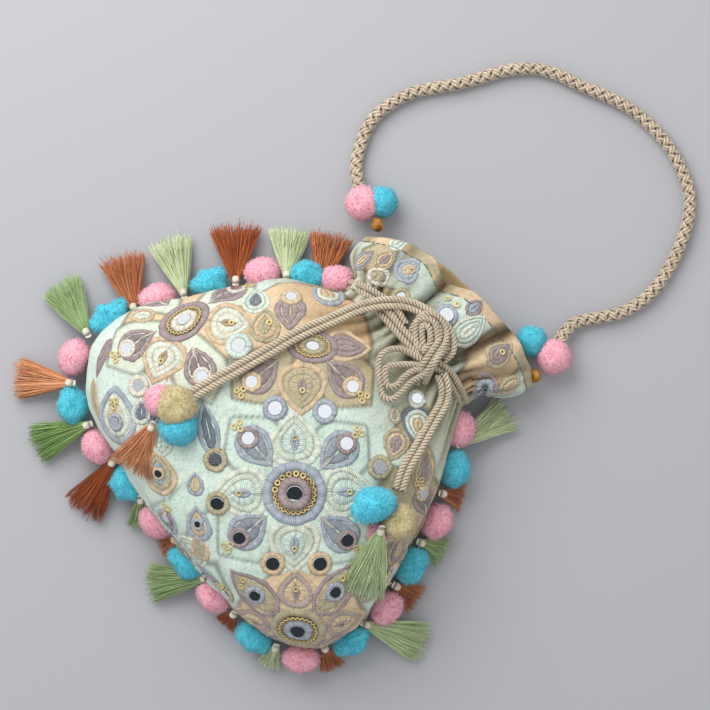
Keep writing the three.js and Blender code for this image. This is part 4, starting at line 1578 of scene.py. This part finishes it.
def fan_of_threads(head, tip, spread, thickness, yarn, seed, count=THREADS):
    """A tassel's loose threads, gathered at the head and fanned out flat to the tip."""
    own = np.random.default_rng(seed)
    tint, dark = np.asarray(yarn)
    head, tip = np.asarray(head, float), np.asarray(tip, float)
    length = np.linalg.norm(tip - head)
    level = unit((tip - head) * (1, 1, 0))
    across = np.cross(level, (0, 0, 1))
    share = np.linspace(0, 1, TASSEL_ROWS)
    sideways = own.uniform(-1, 1, count)
    sideways = np.sign(sideways) * np.abs(sideways) ** 0.85
    upright = own.uniform(-1, 1, count) * np.sqrt(1 - 0.75 * sideways ** 2)
    own_length = 1 - 0.08 * sideways ** 2 + own.normal(0, 0.06, count)
    flat_run = np.linalg.norm((tip - head)[:2])
    t = share[None] * own_length[:, None]
    fan = NECK_WIDE + (spread * 0.95 - NECK_WIDE) * t ** 1.1
    sway = own.normal(0, 0.06, count)[:, None] * spread
    wave = sway * np.sin(math.pi * t * own.uniform(0.7, 1.4))
    side = sideways[:, None] * fan + wave
    drop = 1 - (1 - np.minimum(t, 1)) ** 1.7
    thick = NECK_HIGH + (thickness * 0.8 - NECK_HIGH) * np.minimum(t, 1)
    high = head[2] + (tip[2] - head[2]) * drop + upright[:, None] * thick
    line = head[:2] + level[:2] * (t * flat_run)[..., None]
    line = np.concatenate([line + across[:2] * side[..., None], high[..., None]], axis=-1)
    line[..., 2] = np.maximum(line[..., 2], 0.35)
    run = unit(np.gradient(line, axis=1))
    up = unit(np.cross(across, run))
    wide = np.cross(run, up)
    radius = own.uniform(0.17, 0.28, count)[:, None, None]
    radius = radius * np.linspace(1, 0.75, TASSEL_ROWS)[None, :, None]
    ring = [line + (wide * math.cos(a) + up * math.sin(a)) * radius for a in (0.5, 2.6, 4.7)]
    verts = np.stack(ring, axis=2)
    start = np.arange(count)[:, None] * TASSEL_ROWS * 3
    i, k = np.arange(TASSEL_ROWS - 1)[None, :, None] * 3, np.arange(3)[None, None]
    near, k2 = start[:, None] + i, (k + 1) % 3
    quads = np.stack([near + k, near + k2, near + 3 + k2, near + 3 + k], -1)
    caps = np.concatenate([start + [2, 1, 0], start + (TASSEL_ROWS - 1) * 3 + [0, 1, 2]])
    mix = own.uniform(0, 1, (count, 1)) ** 1.6
    colour = (tint * (1 - mix) + dark * mix) * own.uniform(0.92, 1.1, (count, 1))
    thread = np.zeros((count, TASSEL_ROWS, 3, 3))
    thread[..., 0] = (t * length)[..., None]
    thread[..., 2] = own.uniform(0, 40, count)[:, None, None]
    return (verts.reshape(-1, 3), quads.reshape(-1, 4), caps,
            np.repeat(colour, TASSEL_ROWS * 3, axis=0), thread.reshape(-1, 3))


def add_binding(heap, head, way):
    """Cream thread wound round a tassel's neck, with a knot where it is sewn on."""
    tint = np.array(CREAM)
    way = unit(np.asarray(way, float))
    side = unit(np.cross(way, (0.1, 0.2, 1)))
    other = np.cross(way, side)
    angle = np.linspace(0, 2 * math.pi * BINDING_TURNS, BINDING_TURNS * 10 + 1)
    climb = angle / (2 * math.pi) * BINDING_PITCH
    swell = BINDING_RADIUS + 0.25 * np.sin(climb / climb[-1] * math.pi)
    line = head + way * climb[:, None]
    line = line + side * (np.cos(angle) * swell)[:, None]
    line = line + other * (np.sin(angle) * swell)[:, None]
    line[:, 2] = np.maximum(line[:, 2], 0.6)
    heap.add(*tube(line, 0.5, 5)[:3], tint=tint)
    # The plug is the binding thread's colour drawn darker, as painted shade between the turns
    plug = np.stack([head - way * 0.5, head + way * (climb[-1] + 0.4)])
    heap.add(*tube(plug, BINDING_RADIUS, 8)[:3], tint=tint * 0.8)
    angle = np.linspace(0, 4 * math.pi, 25)
    loop = head - way * 1.6 + side * (np.cos(angle) * 1.5)[:, None]
    loop = loop + (other * 0.7 + way * 0.7) * (np.sin(angle) * 1.5)[:, None]
    heap.add(*tube(loop, 0.62, 5)[:3], tint=tint * 1.03)


# The places of the poms and tassels, as their CAD nodes have them

SEAM_POMS = [
    ("pink", -57, 106, 19), ("turquoise", -72, 93, 16), ("pink", -90, 72, 15),
    ("turquoise", -105, 42, 15), ("pink", -118, 10, 15), ("turquoise", -127, -20, 15),
    ("pink", -121, -53, 14), ("turquoise", -98, -72, 14), ("pink", -68, -76, 14),
    ("turquoise", -38, -76, 14), ("pink", -9, -76, 14), ("turquoise", 23, -76, 14),
    ("pink", 50, -76, 14), ("turquoise", 86, -72, 14), ("pink", 114, -57, 14),
    ("turquoise", 124, -25, 14), ("pink", 122, 4, 15), ("turquoise", 111, 33, 15),
    ("pink", 99, 62, 15), ("turquoise", 80, 91, 16), ("pink", 62, 109, 19),
]
# Colour, head and tip in plan, half width of the fan
SEAM_TASSELS = [
    ("rust", -63, 98, -82, 120, 15), ("green", -81, 84, -101, 101, 14),
    ("rust", -98, 57, -123, 76, 18), ("green", -112, 26, -142, 38, 15),
    ("rust", -124, -4, -152, 8, 16), ("green", -130, -37, -162, -33, 15),
    ("peach", -111, -66, -133, -90, 14), ("green", -83, -74, -93, -106, 14),
    ("rust", -54, -76, -43, -108, 15), ("green", -24, -76, -12, -86, 10),
    ("rust", 7, -75, 4, -84, 10), ("green", 37, -75, 20, -103, 13),
    ("rust", 67, -75, 69, -83, 8), ("green", 100, -67, 106, -77, 8),
    ("rust", 120, -42, 132, -46, 9), ("green", 124, -11, 154, 8, 14),
    ("rust", 117, 18, 131, 22, 11), ("green", 105, 47, 118, 53, 11),
    ("rust", 89, 77, 98, 84, 10), ("green", 70, 106, 73, 138, 13),
]
# Radius of a seam pom's solid, and how much of it is left once the yarn is trimmed
POM_RADIUS, POM_TRIM = 11.2, 0.98
# How far each colour of seam pom is drawn out along the seam, and how lumpy it is
SEAM_POM_SHAPES = {"pink": (1.16, 0.03), "turquoise": (1.25, 0.11)}
HEAD_HEIGHT = 19
# How far a tassel's head sits back under the seam
HEAD_SUNK = 3
TIP_HEIGHT = 5.5
SEAM_FAN_HEIGHT = 4.8
# Tassels up to this length have fewer threads
SHORT = 20
POM_TINTS = {"pink": PINK, "turquoise": TURQUOISE, "olive": OLIVE}
# The colour painted deep between a pom's tufts, as their shade
POM_DEPTHS = {
    "pink": (0.96, 0.47, 0.56),
    "turquoise": (0.12, 0.58, 0.70),
    "olive": (0.66, 0.61, 0.36),
}
# Most of a tassel's threads and its darkest ones
YARNS = {
    "rust": (RUST, (0.50, 0.22, 0.09)),
    "copper": (COPPER, (0.62, 0.34, 0.19)),
    "peach": (TERRACOTTA, (0.76, 0.46, 0.29)),
    "green": (GREEN, (0.52, 0.62, 0.39)),
    "deep green": (DEEP_GREEN, (0.38, 0.52, 0.24)),
    "mid green": (MID_GREEN, GREEN),
    "pale green": (PALE_GREEN, (0.72, 0.78, 0.56)),
}
# Tassels in another shade than their own, counted from the neck round the seam
OTHER_YARN = {
    0: "copper", 1: "pale green", 3: "pale green", 4: "copper", 7: "deep green", 10: "copper",
    13: "pale green", 14: "copper", 15: "mid green", 16: "copper", 18: "copper", 19: "pale green",
}
# The way that the longer pom of a tail is drawn out
LOBE_WAY = (0.2, 0.97, 0)
# Each pom's colour, middle, radius, how far it is drawn out, and the way of its dimple
CLUSTERS = {
    "left": {
        "poms": [
            ("olive", (-56, -17, 79), 13, 1.0, (0, 0, 1)),
            ("turquoise", (-46, -24, 73.5), 13, 1.0, None),
            ("pink", (-64.5, -23, 74), 10.5, 1.0, None),
        ],
        "head": (-56, -36, 71), "tip": (-44, -64, 58), "colour": "peach", "yarn": "peach",
    },
    "right": {
        "poms": [
            ("turquoise", (63.5, 39.5, 75), 12.8, 1.22, (-0.45, 0.85, 0.5)),
            ("olive", (82, 45, 68), 11.5, 1.0, (0, 0, 1)),
            ("pink", (79, 31, 60.5), 8, 1.0, None),
        ],
        "head": (78, 34, 74), "tip": (102, 0, 57), "colour": "green", "yarn": "mid green",
    },
}
CLUSTER_LUMPS = 0.05
# Half width and half height of the fans on the tails
TAIL_FAN = (16, 4.5)
HANDLE_ENDS = {
    "left": {"pink": (-86, 148, 14), "turquoise": (-79.3, 158, 12.5), "bead": (-69.5, 147, 18)},
    "right": {"pink": (63, 183, 14), "turquoise": (47, 178, 12.5), "bead": (65, 166, 18)},
}
HANDLE_POMS = {"pink": 11.5, "turquoise": 10.5}
BEAD_WAY = (0.2, 1, 0.1)
BEAD_SIZE = (4.6, 4.6, 4.2)


def make_cords():
    """The handle, the tails and the knotted tie, each ply by ply."""
    finish = cord_finish("twisted_yarn", 0.5)
    braid_finish = cord_finish("braid_yarn", 0.42)
    handle_line = spline(HANDLE, BRAID_STEP)
    heap = Heap()
    add_braid(heap, handle_line)
    handle = heap.build("braided_handle")
    finish_piece(handle, braid_finish, ["handle_braid"])
    tails = {}
    for side, route in (("left", TAIL_LEFT), ("right", TAIL_RIGHT)):
        for strand, offset in (("inner", STRAND_OFFSET), ("outer", -STRAND_OFFSET)):
            strand_line = beside(spline(route, ROPE_STEP), offset)
            heap = Heap()
            add_rope(heap, strand_line, CORD_BEIGE, 0.7 if offset > 0 else 0)
            made = heap.build(f"tail_{side}_{strand}_strand")
            finish_piece(made, finish, [f"drawstring_tail_{side}"])
            tails[side, strand] = (made, strand_line)
    heap = Heap()
    pair = (-STRAND_OFFSET, STRAND_OFFSET)
    for route, offsets in (
        (NECK_LEFT, pair), (NECK_SIDE, pair), (BOW_OUTER, (0,)), (BOW_INNER, (0,)),
        (KNOT_WRAP, pair), (KNOT_FILL, pair), (KNOT_BAND, (0,)),
    ):
        for offset in offsets:
            line = beside(spline(route, ROPE_STEP), offset)
            # Painted shade: the knot's cord is drawn darker than the tails
            add_rope(heap, line, np.asarray(CORD_BEIGE) * TIE_SHADE)
    finish_piece(heap.build("knotted_tie"), finish, ["drawstring_tie"])
    return handle, handle_line, tails


# Powers that the painted shade of a crease is raised to in red, green and blue: the darker, the
# warmer
CREASE_TONE = np.array([1.0, 1.12, 1.3])
# Painted shade near the neck: how much red, green and blue the cloth loses there
NECK_TONE = np.array([0.08, 0.13, 0.19])


def paint_ground(grid, outside_rows, shade, work):
    """The ground colour of each point of the cloth: mint, with the fields of the flowers, and
    painted shade in the creases and near the neck.
    """
    tint = np.empty((*grid.shape[:2], 3))
    tint[:] = MINT
    drift = soft_noise(grid, 26, 21)[..., None]
    tint = tint * (1 + 0.02 * drift)
    facing = ring_normals(grid)
    for spot, rows, colour in work.fields:
        off = grid - spot.place
        across, along = off @ spot.right, off @ spot.up
        place, half = np.array(rows, float).T
        inside = np.interp(along, place, half, -5, -5) - np.abs(across)
        near = (np.linalg.norm(off, axis=-1) < FIELD_REACH) & (facing @ spot.normal > -0.1)
        filled = (smoothstep(inside, -0.7, 0.7) * near)[..., None]
        edge = (smoothstep(inside, -2.4, 0) * (1 - smoothstep(inside, 0.2, 2.6)) * near)[..., None]
        tint = tint * (1 - filled) + np.asarray(colour) * filled
        tint = tint * (1 - EDGE_SHADE * edge)
    patchy = smoothstep(soft_noise(grid[HEM_ROW:outside_rows], 22, 31), -0.2, 0.2)[..., None]
    tint[HEM_ROW:outside_rows] = np.asarray(PEACH) * patchy + np.asarray(KHAKI) * (1 - patchy)
    tint[outside_rows:] = LINING
    # Painted shade near the neck and in the creases of the pleats and folds
    near_neck = np.exp(-(((grid[..., 1] - NECK_Y + 12) / 24) ** 2))[..., None]
    tint = tint * (1 - NECK_TONE * near_neck) * shade ** CREASE_TONE
    flat = tint.reshape(-1, 3)
    return np.concatenate([flat, [MINT], [LINING]])


def sew_bag():
    """The cloth and the stitches on it. Gives its rings, and where its shiny things go."""
    grid, outside_rows, shade = bag_rings()
    verts, quads, tris = skin(grid)
    cloth = Cloth(verts, quads[:(outside_rows - 1) * SIDES])
    work = Needlework()
    lay_front(work, cloth)
    lay_small(work, cloth)
    lay_frill(work, cloth)
    lay_back(work, cloth)
    tint = paint_ground(grid, outside_rows, shade, work)
    bag = build("embroidered_pouch", verts, quads, tris, tint)
    finish_piece(bag, cloth_finish(), ["bag_body"])
    finish_piece(work.satin.build("satin_stitch_motifs"), satin_finish())
    gold_rings = work.gold.build("gold_thread_rings")
    finish_piece(gold_rings, cord_finish("gold_thread", 0.35))
    return grid, work


def sew_mirrors(spots, disc):
    """The mirrors, each leaning a little its own way."""
    heap = Heap()
    for spot, radius, lean in spots:
        place = spot.lay([0], [0], [MIRROR_HEIGHT])[0]
        lean = lean if spot.normal[2] > 0 else 0
        tilt = unit(spot.normal - lean * PATTERN_UP + rng.normal(scale=0.025, size=3))
        oval = disc[0].copy()
        oval[:, :2] = oval[:, :2] @ spot.shape
        heap.add(over_table(placed(oval, place, tilt, spot.up, radius)), tris=disc[1])
    mirrors = heap.build("mirrors")
    faces = mirrors.data.polygons
    faces.foreach_set("use_smooth", np.zeros(len(faces), bool))
    finish_piece(mirrors, metal_finish("mirror_glass", MIRROR_SILVER, 0.07, 0.08))


def sew_sequins(spots, cup):
    """The sequins, each sewn on a little crooked."""
    heap = Heap()
    for spot, radius in spots:
        place = spot.lay([0], [0], [SEQUIN_HEIGHT])[0]
        tilt = unit(spot.normal + rng.normal(scale=0.1, size=3))
        heap.add(over_table(placed(cup[0], place, tilt, spot.up, radius)), tris=cup[1])
    gilt = metal_finish("sequin_gold", SEQUIN_GOLD, 0.35, 0.15, 0.5)
    finish_piece(heap.build("sequins"), gilt)


def add_pom(heap, node, colour, fluffs):
    """A pom as a piece of its own, which stands for the CAD node."""
    made = heap.build(node.replace("pom", "fluff"))
    return finish_piece(made, fluffs[colour], [node])


def add_seam_poms(ball, fluffs):
    """The poms round the seam, each drawn out towards its neighbours."""
    for i, (colour, *centre) in enumerate(SEAM_POMS):
        before = np.array(SEAM_POMS[max(0, i - 1)][1:], float)
        after = np.array(SEAM_POMS[min(len(SEAM_POMS) - 1, i + 1)][1:], float)
        heap = fluff(ball, np.array(centre), POM_RADIUS * POM_TRIM, POM_TINTS[colour], 100 + i,
                     after - before, *SEAM_POM_SHAPES[colour])
        add_pom(heap, f"seam_pom_{i + 1:02d}_{colour}", colour, fluffs)


def add_clusters(ball, fluffs, silks, bindings):
    """The poms and the tassel at the end of each tail, as lists of pieces by side."""
    hung = {}
    for side, cluster in CLUSTERS.items():
        pieces = []
        for k, (colour, centre, radius, stretch, dimple) in enumerate(cluster["poms"]):
            heap = fluff(ball, np.array(centre), radius, POM_TINTS[colour], 200 + k, LOBE_WAY,
                         stretch, CLUSTER_LUMPS, dimple)
            pieces.append(add_pom(heap, f"tail_{side}_pom_{colour}", colour, fluffs))
        head, tip = np.array(cluster["head"], float), np.array(cluster["tip"], float)
        colour, yarn = cluster["colour"], YARNS[cluster["yarn"]]
        heap = Heap()
        heap.add(*fan_of_threads(head, tip, *TAIL_FAN, yarn, 300))
        made = heap.build(f"tail_{side}_threads")
        finish_piece(made, silks[colour], [f"tail_{side}_tassel_{colour}"])
        pieces.append(made)
        add_binding(bindings, head, tip - head)
        hung[side] = pieces
    return hung


def add_seam_tassels(silks, bindings):
    """The tassels round the seam, from the left of the neck to the right of it."""
    for i, (colour, head_x, head_y, tip_x, tip_y, spread) in enumerate(SEAM_TASSELS):
        length = math.hypot(tip_x - head_x, tip_y - head_y)
        count = THREADS if length > SHORT else SHORT_THREADS
        tip = np.array([tip_x, tip_y, TIP_HEIGHT])
        head = np.array([head_x, head_y, HEAD_HEIGHT])
        head = head - unit((tip - head) * (1, 1, 0)) * HEAD_SUNK
        yarn = YARNS[OTHER_YARN.get(i, colour)]
        heap = Heap()
        heap.add(*fan_of_threads(head, tip, spread, SEAM_FAN_HEIGHT, yarn, 400 + i, count))
        made = heap.build(f"seam_threads_{i + 1:02d}_{colour}")
        node = f"seam_tassel_{i + 1:02d}_{colour}"
        finish_piece(made, silks[colour], [node])
        add_binding(bindings, head, tip - head)


def add_handle_ends(ball, bead, fluffs):
    """Two poms and a bead at each end of the handle, as one list of pieces."""
    pieces = []
    for side, end in HANDLE_ENDS.items():
        for colour, radius in HANDLE_POMS.items():
            seed = 500 + int(2 * radius)
            heap = fluff(ball, np.array(end[colour]), radius, POM_TINTS[colour], seed)
            pieces.append(add_pom(heap, f"handle_{side}_pom_{colour}", colour, fluffs))
        verts = placed(bead[0], np.array(end["bead"]), BEAD_WAY, (0, 0, 1), BEAD_SIZE)
        made = build(f"amber_bead_{side}", verts, tris=bead[1])
        pieces.append(finish_piece(made, bead_finish(), [f"handle_{side}_bead"]))
    return pieces


def main():
    add_camera()
    handle, handle_line, tails = make_cords()
    ball, disc, cup, bead = ball_template(), mirror_template(), sequin_template(), bead_template()
    grid, work = sew_bag()
    sew_mirrors(work.mirrors, disc)
    sew_sequins(work.sequins, cup)
    sew_hem(grid)
    fluffs = {colour: fluff_finish(f"{colour}_fluff", deep) for colour, deep in POM_DEPTHS.items()}
    add_seam_poms(ball, fluffs)
    silks = {name: silk_finish(f"{name}_silk") for name in ("rust", "peach", "green")}
    bindings = Heap()
    cluster_pieces = add_clusters(ball, fluffs, silks, bindings)
    add_seam_tassels(silks, bindings)
    bound = bindings.build("tassel_bindings")
    finish_piece(bound, cord_finish("cream_thread", 0.6))
    handle_pieces = add_handle_ends(ball, bead, fluffs)

    add_floor()
    set_world()
    add_window()


main()
bpy.context.scene.view_settings.view_transform = "Standard"
